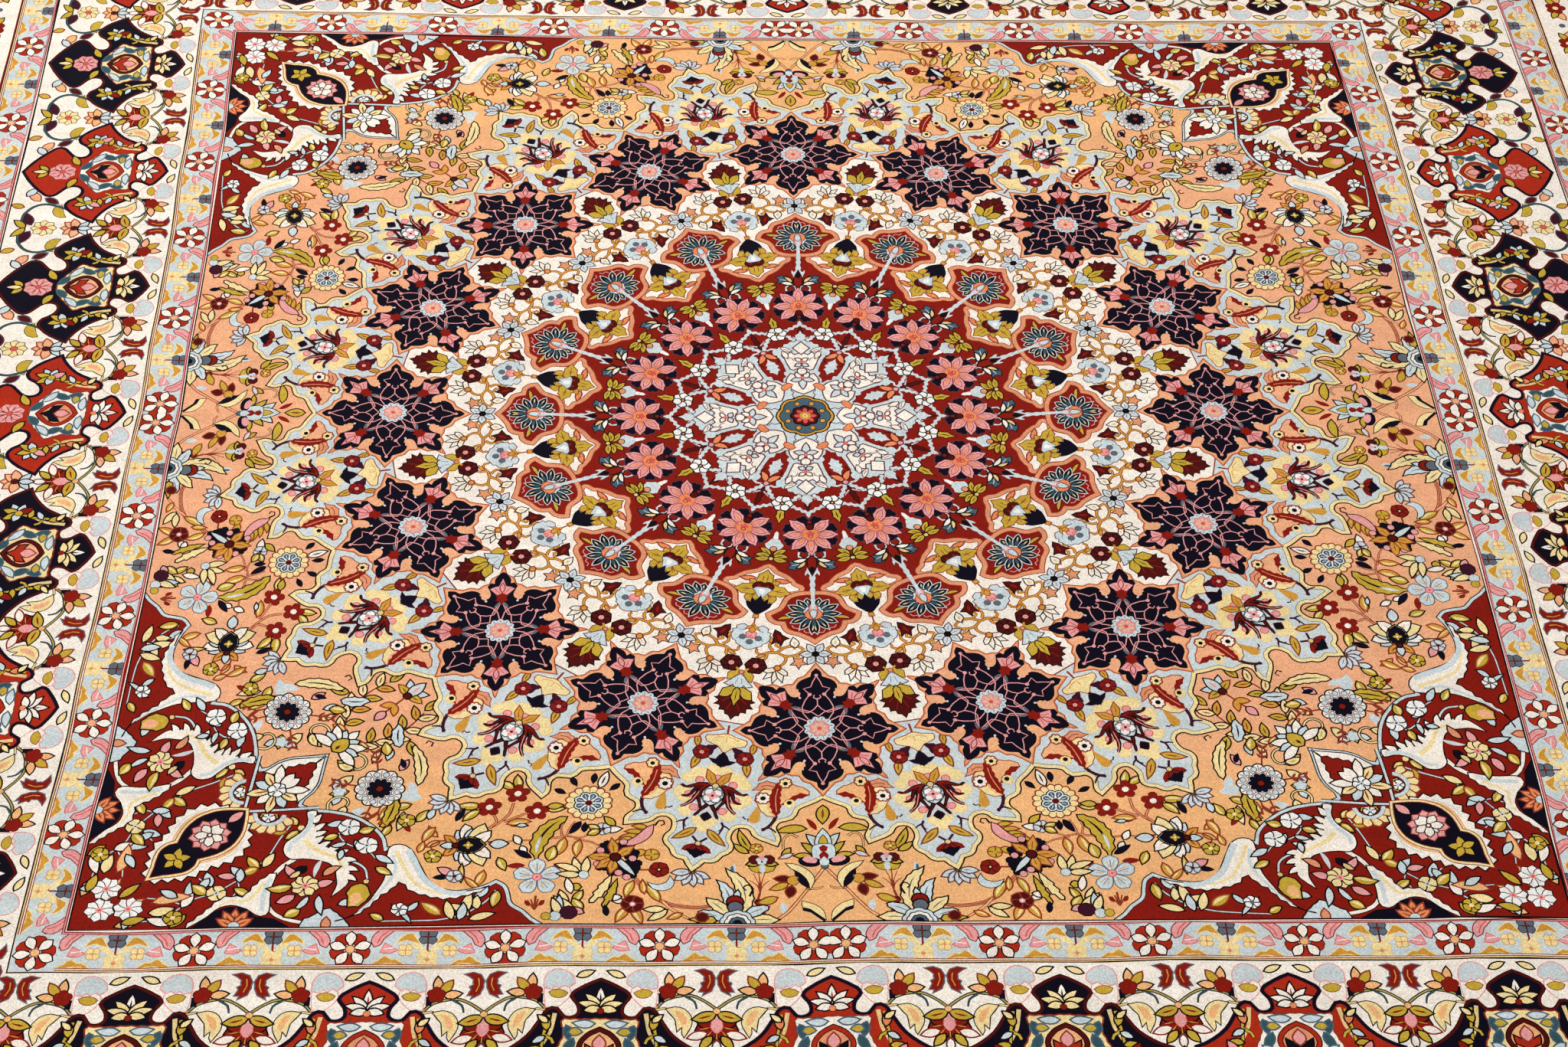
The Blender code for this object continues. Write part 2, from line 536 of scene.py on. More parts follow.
# %% Palmettes
def yellow_palmette():
    """A gold flower and a navy tulip on ivory, inside a salmon band."""
    rim = halves([.500, .506+.012j, .519+.024j, .524+.036j, .532+.052j, .544+.066j, .552+.072j, .552+.072j,
                  .558+.088j, .566+.094j, .576+.093j, .588+.083j, .592+.070j, .592+.070j, .606+.063j,
                  .622+.060j, .640+.056j, .652+.046j, .660+.034j, .664+.022j, .664+.022j])
    out = banded(rim, .0100, "salmon", "ivory", "brick")
    out += fill(halves([.650, .652+.030j, .676+.030j, .676]), "ivory")
    out += both(leaf(.032, .0058, "orange", "brick", at=.549+.024j, facing=76, bend=20))
    for angle, length, width in ((128, .040, .0130), (40, .050, .0140), (84, .062, .0150)):
        one = edged(ragged(petal(length, width, .5, .7), .0030, .0095), "mustard", "brick", .0024)
        one += fill(petal(length * .6, .0014, n=3, start=length * .3), "brick")
        one += both(fill(placed([(petal(length * .3, .0010, n=3), "")], length * .5, 28)[0][0], "brick"))
        out += both(placed(one, .582, angle))
    top = edged(ragged(petal(.056, .0170, .55, .7), .0030, .0095), "mustard", "brick", .0024)
    top += both(fill(petal(.026, .0014, n=3, start=.018) + .005j, "brick"))
    out += placed(top, .580, 180)
    cap = halves([.563, .559+.010j, .562+.018j, .574+.025j, .582+.022j, .579+.010j, .578])
    out += edged(cap, "madder", "black", .0016)
    out += both(edged(disc(.0048, .572+.010j, 6), "red", "black", .0012))
    cup = halves([.577, .578+.014j, .584+.021j, .592+.014j, .604+.008j, .614, .614])
    out += edged(cup, "silver", "grey", .0018)
    out += fill(halves([.580, .584+.008j, .594+.005j, .600]), "white")
    tulip = halves([.606, .606, .618+.005j, .622+.012j, .614+.018j, .614+.018j, .628+.018j, .626+.029j,
                    .626+.029j, .638+.025j, .650+.016j, .658+.008j, .664, .664])
    out += edged(tulip, "navy", "black", .0020)
    out += edged(disc(.0070, .670, 4), "ochre", "brick", .0022)
    out += fill(line([.674, .684, .698], .0036), "brick")
    return out


def red_palmette():
    """A dark fan of petals on red, inside a salmon band."""
    rim = halves([.584, .583+.016j, .586+.036j, .594+.055j, .606+.066j, .622+.072j, .634+.080j, .641+.092j,
                  .650+.108j, .650+.108j, .662+.106j, .674+.100j, .684+.088j, .687+.074j, .687+.074j,
                  .699+.071j,
                  .712+.062j, .719+.048j, .722+.038j, .722+.038j, .728+.028j, .736+.016j, .750, .750])
    out = banded(rim, .0105, "salmon", "red", "brick")
    out += both(edged(bent(petal(.032, .0040), .032, -40) * turn(104) + (.666+.050j), "mustard", "madder",
                      .0024))
    out += both(fill(line([.690+.050j, .698+.046j, .700+.036j, .708+.034j], .0022), "pink"))
    out += both(fill(line([.706+.024j, .714+.020j, .714+.010j, .722+.006j], .0022), "pink"))
    out += both(fill(line([.628+.040j, .636+.050j], .0020), "pink"))
    c = .652
    for angle, length in ((158, .034), (134, .040), (109, .047), (82, .047), (55, .046), (27, .046),
                          (0, .052)):
        for side in (1, -1) if angle else (1,):
            way = side * angle
            start = c + .014 * turn(way)
            one = edged(bent(petal(length, .0088, .55), length, side * 14), "navy", "silver", .0020)
            one += fill(bent(petal(length * .66, .0040, n=4, start=.004), length, side * 14), "teal")
            one += fill(bent(petal(length * .34, .0020, n=3, start=length * .5), length, side * 14), "sand")
            out += placed(one, start, way)
    out += edged(lobed(.0235, 9, .16) + c, "silver", "navy", .0020)
    crescent = smooth([c - .008 + .012j, c + .019j, c + .012 + .017j, c + .020 + .008j, c + .020 + .002j,
                       c + .013 + .008j, c + .004 + .009j])
    out += both(edged(crescent, "orange", "brick", .0020))
    out += edged(halves([c - .030, c - .024 + .007j, c - .014 + .010j, c - .006 + .007j, c]), "pink",
                 "brick", .0014)
    out += edged(halves([c - .010, c - .002 + .007j, c + .008 + .006j, c + .018]), "silver", "slate", .0014)
    out += fill(disc(.0030, c - .013, 5), "madder")
    return out


print("yellow and red palmette:", len(yellow_palmette()), "and", len(red_palmette()), "shapes")


# %% [markdown]
# ## Navy stars
# Each star has eight points, so a quarter of its outline is enough, and a function turns it four times. The
# thin pink lines cross like lattice, and a pink lily on a red cup stands in every second point.

# %% Navy stars
def navy_star():
    """An eight-pointed navy star with an interlace of thin pink lines."""
    def eight(side):
        half = list(side) + [complex(p).imag + 1j * complex(p).real for p in side[-2:0:-1]]
        return smooth([p * 1j**k for k in range(4) for p in [half[0]] + half])

    rim = eight([.187, .172+.010j, .150+.026j, .144+.041j, .128+.051j, .127+.066j, .121+.079j, .129+.095j,
                 .125+.114j, .137+.137j])
    body = eight([.170, .160+.009j, .147+.011j, .147+.011j, .142+.024j, .134+.036j, .122+.043j, .110+.041j,
                  .103+.034j, .103+.034j, .094+.035j, .088+.048j, .093+.060j, .106+.068j, .117+.072j,
                  .119+.082j, .110+.088j, .110+.088j, .120+.097j, .124+.110j, .124+.124j])
    out = edged(rim, "orange", "brick", .0022) + fill(grow(rim, -.0030), "gold")
    out += edged(body, "navy", "black", .0022)
    for k in range(4):
        wedge = fill(line([.112+.047j, .098+.043j, .090+.039j], .0130, .3), "gold")
        wedge += fill(disc(.0032, .088+.038j, 5), "silver")
        out += placed(both(wedge), facing=90 * k) + placed(both(wedge), facing=90 * k, flip=True)
        out += placed(both([(1j * np.conj(z), dye) for z, dye in wedge]), facing=90 * k)
    lines = []
    for path, width in (([.026+.022j, .044+.033j, .062+.034j, .080+.027j, .097+.016j], .0026),
                        ([.034, .046+.013j, .054+.032j, .062+.058j], .0023),
                        ([.062+.060j, .050+.036j, .045+.022j, .054+.009j, .066], .0023)):
        lines += both(fill(line(path, width, step=.016), "pink"))
    lines += both(fill(line([.097+.016j, .114+.029j, .119+.013j, .134+.008j, .150], .0024, soft=False),
                       "pink"))
    lines += fill(line([.064, .086], .0024), "pink")
    lines += both(fill(line([.082, .088+.008j, .095+.006j], .0026), "pink"))
    lines += both(fill(disc(.0052, .097+.016j, 5), "pink")) + fill(disc(.0046, .152, 5), "pink")
    out += around(lines, 4)
    # A pink lily on a red calyx, in every second point.
    lily = both(leaf(.026, .0040, "grey", None, at=.088, facing=140))
    tulip = halves([.099, .099, .110+.014j, .126+.028j, .126+.028j, .132+.017j, .134+.008j, .134+.008j,
                    .144+.005j, .157, .157])
    lily += edged(tulip, "pink", "plum", .0020)
    lily += both(fill(line([.108+.002j, .120+.012j, .127+.017j], .0022), "rose"))
    lily += edged(petal(.026, .0050, start=.116), "pink", "red", .0022)
    calyx = halves([.076, .076, .088+.006j, .090+.014j, .090+.014j, .099+.010j, .107+.015j, .107+.015j,
                    .110+.005j, .114, .114])
    lily += fill(calyx, "red")
    out += around(lily, 4, 45)
    out += edged(lobed(.0345, 12, .15), "silver", "black", .0016)
    out += around(fill(line([.024, .031], .0018), "grey"), 12, 15)
    out += edged(lobed(.0225, 8, .2), "pink", "rose", .0014)
    out += around(fill(petal(.012, .0026, n=3, start=.006), "sand"), 8, 22.5)
    out += fill(disc(.0055, n=6), "rose")
    return placed(out, .995)


print("navy star:", len(navy_star()), "shapes")


# %% The ivory ring
def ivory_ring_star():
    """What stands on the ivory ring round each star axis: gold vines, bells, leaf fans and buds."""
    gold = [
        [.772+.086j, .758+.070j, .754+.052j, .758+.034j, .766+.025j],
        [.766+.025j, .778+.036j, .784+.054j, .782+.070j, .772+.086j],
        [.772+.086j, .770+.104j, .776+.120j, .768+.132j, .758+.130j],
        [.766+.094j, .752+.102j, .738+.098j],
        [.757+.060j, .748+.052j, .740+.050j],
        [.780+.040j, .792+.038j],
        [.782+.068j, .794+.066j, .806+.072j, .816+.084j],
        [.772+.108j, .786+.110j, .796+.118j],
        [.756+.076j, .750+.088j, .742+.084j],
    ]
    out = []
    for path in gold:
        out += both(fill(line(path, .0088, .8), "brick"))
    for path in gold:
        out += both(fill(line(path, .0048, .7), "ochre"))
    for at, facing, bend in ((.756+.131j, 160, 60), (.740+.098j, 190, -60), (.796+.118j, 30, 60),
                             (.776+.112j, 60, 20), (.762+.046j, 175, 30)):
        out += both(placed(edged(bent(petal(.020, .0042), .020, bend), "ochre", "brick", .0022), at, facing))
    star = lobed(.0170, 5, .50, 2, 36)
    out += both(edged(star + (.804+.038j), "salmon", "black", .0024) + fill(disc(.0045, .790+.038j, 6),
                                                                            "ochre"))
    for turned, length in ((40, .038), (8, .040), (-22, .038), (72, .030), (-54, .030)):
        one = edged(ragged(bent(petal(length, .0058, .5), length, 16), .0012, .008), "ivory", "black", .0026)
        one += fill(bent(petal(length * .5, .0016, n=3, start=length * .2), length, 16), "sand")
        out += both(placed(one, .820+.086j, turned))
    out += both(edged(disc(.0066, .818+.085j, 6), "ochre", "brick"))
    pod = halves([0, 0, .009+.009j, .018+.008j, .030, .030])
    out += both(placed(edged(pod, "ivory", "black", .0026) + fill(petal(.014, .0040, n=3, start=.006),
                                                                  "sand"),
                       .758+.044j, 172))
    bud = smooth([-.024, -.024, -.012+.009j, -.002+.010j, .012+.020j, .012+.020j, .010+.008j, .024+.004j,
                  .024+.004j, .012-.006j, .010-.018j, .010-.018j, -.004-.008j, -.014-.007j])
    out += both(placed(edged(bud, "madder", "black", .0024) + fill(petal(.022, .0040, start=-.010), "red"),
                       .726+.080j, -18))
    out += blossom(6, .0340, "silver", "mauve", "black", None, at=.780, facing=30, share=.50, blunt=.8,
                   belly=.45)
    out += around(fill(line([.012, .026], .0014), "mauve"), 6, 30) and placed(
        around(fill(line([.012, .024], .0014), "mauve"), 6, 30), .780)
    return out


def ivory_ring_between():
    """The silver fan flower, the dark red flowers, and the bell and palmette."""
    fan = halves([.712, .704+.012j, .700+.024j, .704+.034j, .704+.034j, .716+.034j, .720+.042j, .732+.040j,
                  .738+.044j, .748+.036j, .748+.036j, .754+.028j, .764+.024j, .764+.014j, .764+.014j,
                  .772+.008j, .772])
    out = edged(ragged(fan, .0018, .008), "silver", "mauve", .0022)
    out += both(fill(line([.712+.010j, .718+.026j], .0016),
                     "slate") + fill(line([.736+.022j, .746+.030j], .0016), "slate"))
    out += fill(halves([.706, .706, .708+.008j, .716+.014j, .730+.014j, .734, .734]), "ivory")
    out += both(edged(disc(.0072, .738+.018j, 7), "grey", "slate", .0018))
    out += edged(disc(.0072, .751, 7), "grey", "slate", .0018)
    out += edged(lobed(.0120, 5, .24) + .728, "pink", "rose", .0024)
    out += both(fill(line([.730, .738+.006j], .0016), "rose"))
    out += edged(halves([.692, .692, .704+.006j, .716+.006j, .722, .722]), "ochre", "brick", .0020)
    out += both(edged(petal(.020, .003) * turn(52) + .700, "ochre", "brick", .0016))
    out += both(edged(ragged(bent(petal(.036, .0085), .036, -30), .0016, .009) * turn(42) + (.838+.008j),
                      "mustard", "brick", .0022))
    out += both(blossom(6, .0235, "madder", "black", "pink", "salmon", at=.820+.0275j, facing=30, share=.95,
                        blunt=.5))
    out += both(fill(line([.846, .838+.006j, .832+.014j], .0050), "ochre"))
    out += edged(halves([.838, .842+.005j, .848+.003j, .852, .852]), "salmon", "brick", .0020)
    bell_cup = halves([.850, .850, .858+.010j, .868+.017j, .882+.030j, .882+.030j, .886+.018j, .880+.012j,
                       .892+.006j, .888, .888])
    out += edged(bell_cup, "silver", "mauve", .0024)
    out += both(fill(line([.862+.004j, .880+.008j], .0014), "grey"))
    fan = halves([.900, .903+.022j, .912+.032j, .912+.032j, .918+.028j, .926+.042j, .926+.042j, .932+.032j,
                  .944+.040j, .944+.040j, .946+.028j, .958+.028j, .958+.028j, .958+.016j, .968+.014j,
                  .968+.014j, .970+.006j, .980, .980])
    out += edged(fan, "madder", "black", .0024)
    out += both(fill(line([.916+.008j, .934+.026j], .0024),
                     "red") + fill(line([.930+.004j, .956+.014j], .0024), "red"))
    out += both(fill(line([.908+.014j, .920+.030j], .0020), "pink"))
    out += both(edged(ragged(bent(petal(.044, .0105), .044, -42), .0022, .010) * turn(66) + (.892+.002j),
                      "mustard", "black", .0024))
    out += edged(ragged(petal(.048, .0080, start=.890), .0022, .010), "mustard", "black", .0024)
    out += fill(petal(.034, .0014, n=3, start=.894), "black")
    return out


print("ivory ring:", len(ivory_ring_star() + ivory_ring_between()), "shapes in a sixteenth")


# %% The pale-blue zone
def blue_zone_between():
    """The cream tulip, the dark lotus on its pale cloud, and the pendant below it, between the star axes."""
    out = fill(line([1.000, 1.012, 1.026], .0050), "brick")
    tulip = halves([1.026, 1.028+.008j, 1.034+.022j, 1.035+.034j, 1.040+.046j, 1.040+.046j, 1.050+.042j,
                    1.056+.032j, 1.059+.018j, 1.066+.010j, 1.080, 1.080])
    out += edged(ragged(tulip, .0010, .009), "cream", "brick", .0022)
    out += both(fill(line([1.034+.004j, 1.036+.016j, 1.042+.028j], .0020), "ochre"))
    out += fill(line([1.034, 1.050], .0018), "ochre")
    out += both(leaf(.028, .0056, "mustard", "brick", at=1.042+.062j, facing=-6, vein="brick"))
    out += both(leaf(.034, .0072, "mustard", "brick", at=1.098+.052j, facing=14, belly=.4, vein="brick"))
    wing = smooth([1.062+.014j, 1.062+.014j, 1.062+.030j, 1.068+.042j, 1.082+.040j, 1.092+.026j, 1.092+.026j,
                   1.084+.024j, 1.074+.022j])
    out += both(fill(ragged(wing, .0012, .008), "plum"))
    out += both(blossom(5, .0180, "red", "plum", "pink", "salmon", at=1.086+.047j, facing=20, share=1.0))
    dark = halves([1.078, 1.078, 1.088+.008j, 1.100+.014j, 1.100+.026j, 1.100+.026j, 1.108+.018j, 1.112+.008j,
                   1.126, 1.126])
    out += edged(dark, "navy", "plum", .0022)
    lobes = ((1.133, .014, .0175), (1.146, .042, .0190), (1.158, .060, .0150), (1.200, .067, .0180),
             (1.216, .058, .014), (1.250, .046, .0170))
    for reach, aside, radius in lobes:
        out += both(fill(lobed(radius + .0016, 9, .08, 3) + reach + 1j * aside, "sand"))
    for reach, aside, radius in lobes:
        out += both(fill(disc(radius - .0006, reach + 1j * aside, 14), "cream"))
    for spot in (1.150+.0001j, 1.162+.036j, 1.205+.050j, 1.241+.031j):
        out += both(edged(disc(.0086, spot, 8), "pink", "rose", .0022))
    arms = (
        ([1.172+.012j, 1.172+.030j, 1.178+.044j, 1.186+.060j, 1.180+.074j], .0130),
        ([1.176+.020j, 1.194+.030j, 1.214+.036j, 1.230+.044j, 1.244+.060j], .0150),
        ([1.178+.028j, 1.186+.040j, 1.204+.046j, 1.214+.058j, 1.210+.066j], .0110),
        ([1.170+.010j, 1.190+.026j, 1.214+.027j, 1.236+.018j, 1.250+.016j], .0120),
        ([1.222, 1.236+.010j, 1.250+.018j, 1.272+.028j], .0110),
    )
    for path, width in arms:
        out += both(fill(ragged(line(path, width, .4), .0010, .009), "black"))
    for path, width in arms:
        out += both(fill(line(path, width * .55, .3), "red" if width > .012 else "madder"))
        out += both(fill(line(path[1:], .0016, 1), "pink" if width > .014 else "madder"))
    out += edged(halves([1.170, 1.176+.012j, 1.192+.022j, 1.208+.020j, 1.222+.010j, 1.228]), "silver",
                 "black", .0036)
    out += placed(around(edged(petal(.022, .0095, .6, .6, n=4), "white", "grey"), 4, 45), 1.200)
    out += placed(around(fill(petal(.014, .0056, .6, .6, n=4), "pink"), 4), 1.200)
    out += fill(disc(.0038, 1.200, 5), "plum")
    leaves = edged(ragged(bent(petal(.042, .0078), .042, 18), .0016, .009), "ochre", "brick", .0024)
    leaves += fill(bent(petal(.030, .0012, n=3, start=.006), .042, 18), "brick")
    out += both(placed(leaves, 1.168+.002j, 140))
    out += edged(disc(.0070, 1.171, 6), "sand", "black", .0022)
    lotus = halves([1.262, 1.266+.012j, 1.268+.028j, 1.268+.028j, 1.280+.024j, 1.288+.014j, 1.298+.012j,
                    1.306+.004j, 1.306])
    out += edged(ragged(lotus, .0014, .009), "cream", "sand", .0016)
    out += edged(halves([1.250, 1.250, 1.262+.011j, 1.274, 1.274]), "navy", "madder", .0022)
    out += both(fill(line([1.272+.036j, 1.282+.042j, 1.296+.040j, 1.310+.037j], .0060, .5), "plum"))
    out += both(fill(line([1.280+.040j, 1.284+.050j, 1.290+.058j], .0056, .5), "plum"))
    out += both(fill(line([1.292+.041j, 1.298+.034j], .0044, .4), "plum"))
    out += both(leaf(.052, .0080, "mustard", "brick", at=1.300+.014j, facing=42, bend=14, belly=.4,
                     vein="brick"))
    out += both(fill(line([1.322+.016j, 1.330+.008j, 1.340], .0056, 1), "plum"))
    out += both(edged(ragged(petal(.032, .0070), .0012, .009) * turn(58) + (1.346+.002j), "red", "madder",
                      .0018))
    out += both(leaf(.024, .0060, "red", "madder", at=1.348+.002j, facing=20))
    crown = halves([1.354, 1.360+.010j, 1.358+.022j, 1.358+.022j, 1.368+.018j, 1.376+.008j, 1.384, 1.384])
    out += fill(crown, "navy")
    out += edged(disc(.0060, 1.341, 6), "sand", "plum", .0022)
    drop = smooth([1.208+.101j, 1.208+.101j, 1.226+.108j, 1.246+.113j, 1.258+.108j, 1.262+.097j, 1.254+.089j,
                   1.236+.092j])
    out += both(fill(ragged(drop, .0008, .009), "ochre"))
    out += both(fill(line([1.246+.076j, 1.252+.082j, 1.250+.088j, 1.258+.090j], .0040, .6), "madder"))
    return out


def blue_zone_star():
    """Half palmettes with a red saw-edged spine, either side of the star axis."""
    out = both(fill(line([1.236+.098j, 1.252+.104j, 1.266+.114j, 1.278+.128j], .0085, .8), "plum"))
    out += both(fill(line([1.274+.128j, 1.270+.112j, 1.284+.098j], .0070, .5), "plum"))
    # The outer lobe, cream with a dark-eyed flower.
    lobe = smooth([1.238+.100j, 1.238+.100j, 1.236+.112j, 1.226+.124j, 1.214+.132j, 1.204+.134j, 1.190+.142j,
                   1.176+.140j, 1.164+.132j, 1.158+.118j, 1.158+.106j, 1.170+.100j])
    out += both(edged(ragged(lobe, .0018, .009), "cream", "brick", .0022))
    shade = smooth([1.238+.100j, 1.238+.100j, 1.226+.112j, 1.204+.118j, 1.182+.112j, 1.168+.104j,
                    1.200+.102j])
    out += both(fill(shade, "gold"))
    out += both(edged(lobed(.0150, 8, .22) + (1.184+.127j), "ivory", "brick"))
    out += both(fill(disc(.0066, 1.184+.127j, 7), "black"))
    # A saw-edged leaf curls over the top.
    over = smooth([1.150+.098j, 1.150+.098j, 1.140+.110j, 1.138+.124j, 1.146+.136j, 1.160+.146j, 1.160+.146j,
                   1.156+.132j, 1.154+.118j, 1.160+.106j])
    out += both(edged(ragged(over, .0030, .0085), "salmon", "red", .0020))
    out += both(fill(line([1.152+.104j, 1.146+.118j, 1.150+.132j], .0018), "red"))
    # The inner plume, towards the axis.
    plume = smooth([1.206+.092j, 1.206+.092j, 1.190+.076j, 1.176+.056j, 1.172+.040j, 1.178+.030j, 1.178+.030j,
                    1.164+.034j, 1.156+.048j, 1.150+.062j, 1.142+.074j, 1.140+.090j, 1.150+.100j,
                    1.170+.102j])
    out += both(edged(ragged(plume, .0018, .009), "gold", "red", .0022))
    under = smooth([1.204+.090j, 1.204+.090j, 1.188+.072j, 1.176+.054j, 1.174+.042j, 1.180+.030j, 1.180+.030j,
                    1.186+.044j, 1.188+.056j, 1.196+.064j, 1.206+.076j])
    out += both(fill(ragged(under, .0026, .0085), "red"))
    spine = smooth([1.240+.098j, 1.240+.098j, 1.216+.108j, 1.194+.112j, 1.172+.110j, 1.150+.102j, 1.138+.090j,
                    1.138+.090j, 1.150+.090j, 1.166+.090j, 1.186+.092j, 1.208+.090j, 1.226+.092j])
    out += both(fill(ragged(spine, .0032, .0085), "red"))
    out += both(fill(line([1.224+.098j, 1.200+.100j, 1.176+.100j, 1.156+.096j], .0022), "salmon"))
    out += both(edged(lobed(.0125, 7, .24) + (1.142+.080j), "cream",
                      "brick") + fill(disc(.0055, 1.143+.080j, 6), "black"))
    out += both(edged(disc(.0115, 1.202+.070j, 8), "cream", "sand",
                      .0016) + fill(disc(.0062, 1.199+.071j, 6), "black"))
    return out


print("pale-blue zone:", len(blue_zone_between() + blue_zone_star()), "shapes in a sixteenth")


# %% [markdown]
# ## The gold field
# The medallion ends in a wavy rim with a cream line. Outside it, flowers are strewn on gold silk: a lotus on
# each axis, a slate rosette, three red flowers, a feather, and a cream lotus that lies on its side. The field
# isn't a simple repeat, so each flower gets a place of its own, and only the eighth is drawn.

# %% The wavy rim
RIM = [1.190, 1.190, 1.203+.020j, 1.212+.040j, 1.221+.052j, 1.235+.056j, 1.246+.064j, 1.246+.064j,
       1.251+.078j, 1.254+.090j, 1.266+.098j, 1.279+.097j, 1.293+.091j, 1.306+.090j, 1.322+.096j,
       1.322+.096j, 1.312+.114j, 1.303+.132j, 1.290+.147j, 1.277+.152j, 1.270+.160j, 1.268+.171j,
       1.273+.184j, 1.287+.192j, 1.303+.194j, 1.316+.189j, 1.331+.190j, 1.343+.200j, 1.350+.212j,
       1.363+.222j, 1.369+.236j, 1.368+.250j, 1.379+.260j, 1.394+.2773j]


def blue_rim():
    """The wavy rim of the pale-blue zone, all the way round."""
    unit = [complex(p) for p in RIM]
    tip = turn(11.25)
    pair = unit + [unit[-1]] + [tip * tip * p.conjugate() for p in reversed(unit[:-1])][:-1]
    whole = []
    for k in range(16):
        whole += [p * turn(22.5 * k) for p in pair[1 if k else 0:]]
    return smooth(whole)


LIT_LENGTH = 0.025


def leaves(rows):
    """Many leaves from rows of base, facing, length, half width, dye, rim, bend."""
    out = []
    for at, facing, length, width, dye, rim, bend in rows:
        lit = "cream" if dye in ("mustard", "ochre") and length > LIT_LENGTH else None
        out += leaf(length, width, dye, rim, bend=bend, at=at, facing=facing, lit=lit)
    return out


print("rim:", len(blue_rim()), "points")


# %% Flowers near the axes
def small_lotus():
    """The lotus on each axis of the rug, with its crescents and stems."""
    out = leaf(.050, .0125, "mustard", "black", at=1.212, vein="brick")
    out += both(leaf(.042, .0065, "red", None, at=1.282+.013j, facing=156, bend=-15))
    out += both(leaf(.060, .0100, "mustard", "black", at=1.276+.036j, facing=98, bend=-25))
    stems = both(fill(line([1.386, 1.412+.018j, 1.440+.036j, 1.476+.060j, 1.510+.086j, 1.530+.112j], .0085),
                      "brick"))
    stems += both(fill(line([1.386, 1.412+.018j, 1.440+.036j, 1.476+.060j, 1.510+.086j, 1.530+.112j],
                            .0042), "gold"))
    out += stems
    out += both(edged(line([1.444+.040j, 1.446+.020j, 1.440+.008j], .0040, .5), "gold", "brick", .0016))
    # Crescents of cream with a navy lining.
    moon = smooth([1.372+.080j, 1.372+.080j, 1.378+.056j, 1.396+.034j, 1.420+.024j, 1.446+.034j, 1.446+.034j,
                   1.436+.034j, 1.416+.040j, 1.398+.054j, 1.386+.070j])
    lining = smooth([1.384+.072j, 1.384+.072j, 1.396+.060j, 1.398+.050j, 1.416+.038j, 1.446+.036j,
                     1.446+.036j, 1.432+.052j, 1.422+.058j, 1.412+.056j, 1.406+.064j, 1.396+.064j])
    out += both(fill(lining, "navy") + edged(moon, "cream", "black", .0022))
    foot = smooth([1.478+.052j, 1.478+.052j, 1.490+.026j, 1.508+.010j, 1.530+.006j, 1.530+.006j, 1.514+.022j,
                   1.500+.036j, 1.494+.052j])
    out += both(fill(foot + .010, "navy") + edged(foot, "cream", "black", .0018))
    # The lotus itself.
    out += both(leaf(.042, .0075, "mustard", "black", at=1.350+.016j, facing=150, bend=-20)
                + leaf(.038, .0075, "mustard", "black", at=1.360+.024j, facing=118, bend=-30))
    out += both(leaf(.050, .0095, "silver", "black", at=1.336+.006j, facing=158, bend=-22, vein="mustard"))
    drop = halves([1.278, 1.278, 1.296+.012j, 1.316+.017j, 1.330+.014j, 1.336])
    out += edged(drop, "silver", "black", .0024) + edged(.52 * (drop - 1.312) + 1.314, "mustard", "black",
                                                         .0018)
    body = halves([1.322+.012j, 1.330+.023j, 1.352+.024j, 1.368+.018j, 1.376+.008j])
    out += edged(body, "silver", "black", .0018)
    out += edged(disc(.0085, 1.334, 5), "red", "brick", .0014) + fill(halves([1.340, 1.340, 1.352+.010j,
                                                                              1.366+.007j,
                                                                           1.366+.007j, 1.356, 1.356]), "red")
    base = smooth([1.366+.010j, 1.360+.024j, 1.356+.040j, 1.362+.052j, 1.374+.050j, 1.382+.036j, 1.382+.018j,
                   1.376+.008j])
    out += both(edged(base, "navy", "black", .0018))
    out += both(fill(smooth([1.366+.014j, 1.356+.026j, 1.354+.040j, 1.362+.046j, 1.372+.036j, 1.374+.018j]),
                     "pink"))
    out += edged(disc(.0075, 1.384, 6), "slate", "black", .0016)
    out += edged(disc(.010, 1.372, 8), "silver", "silver", .0005)
    return out


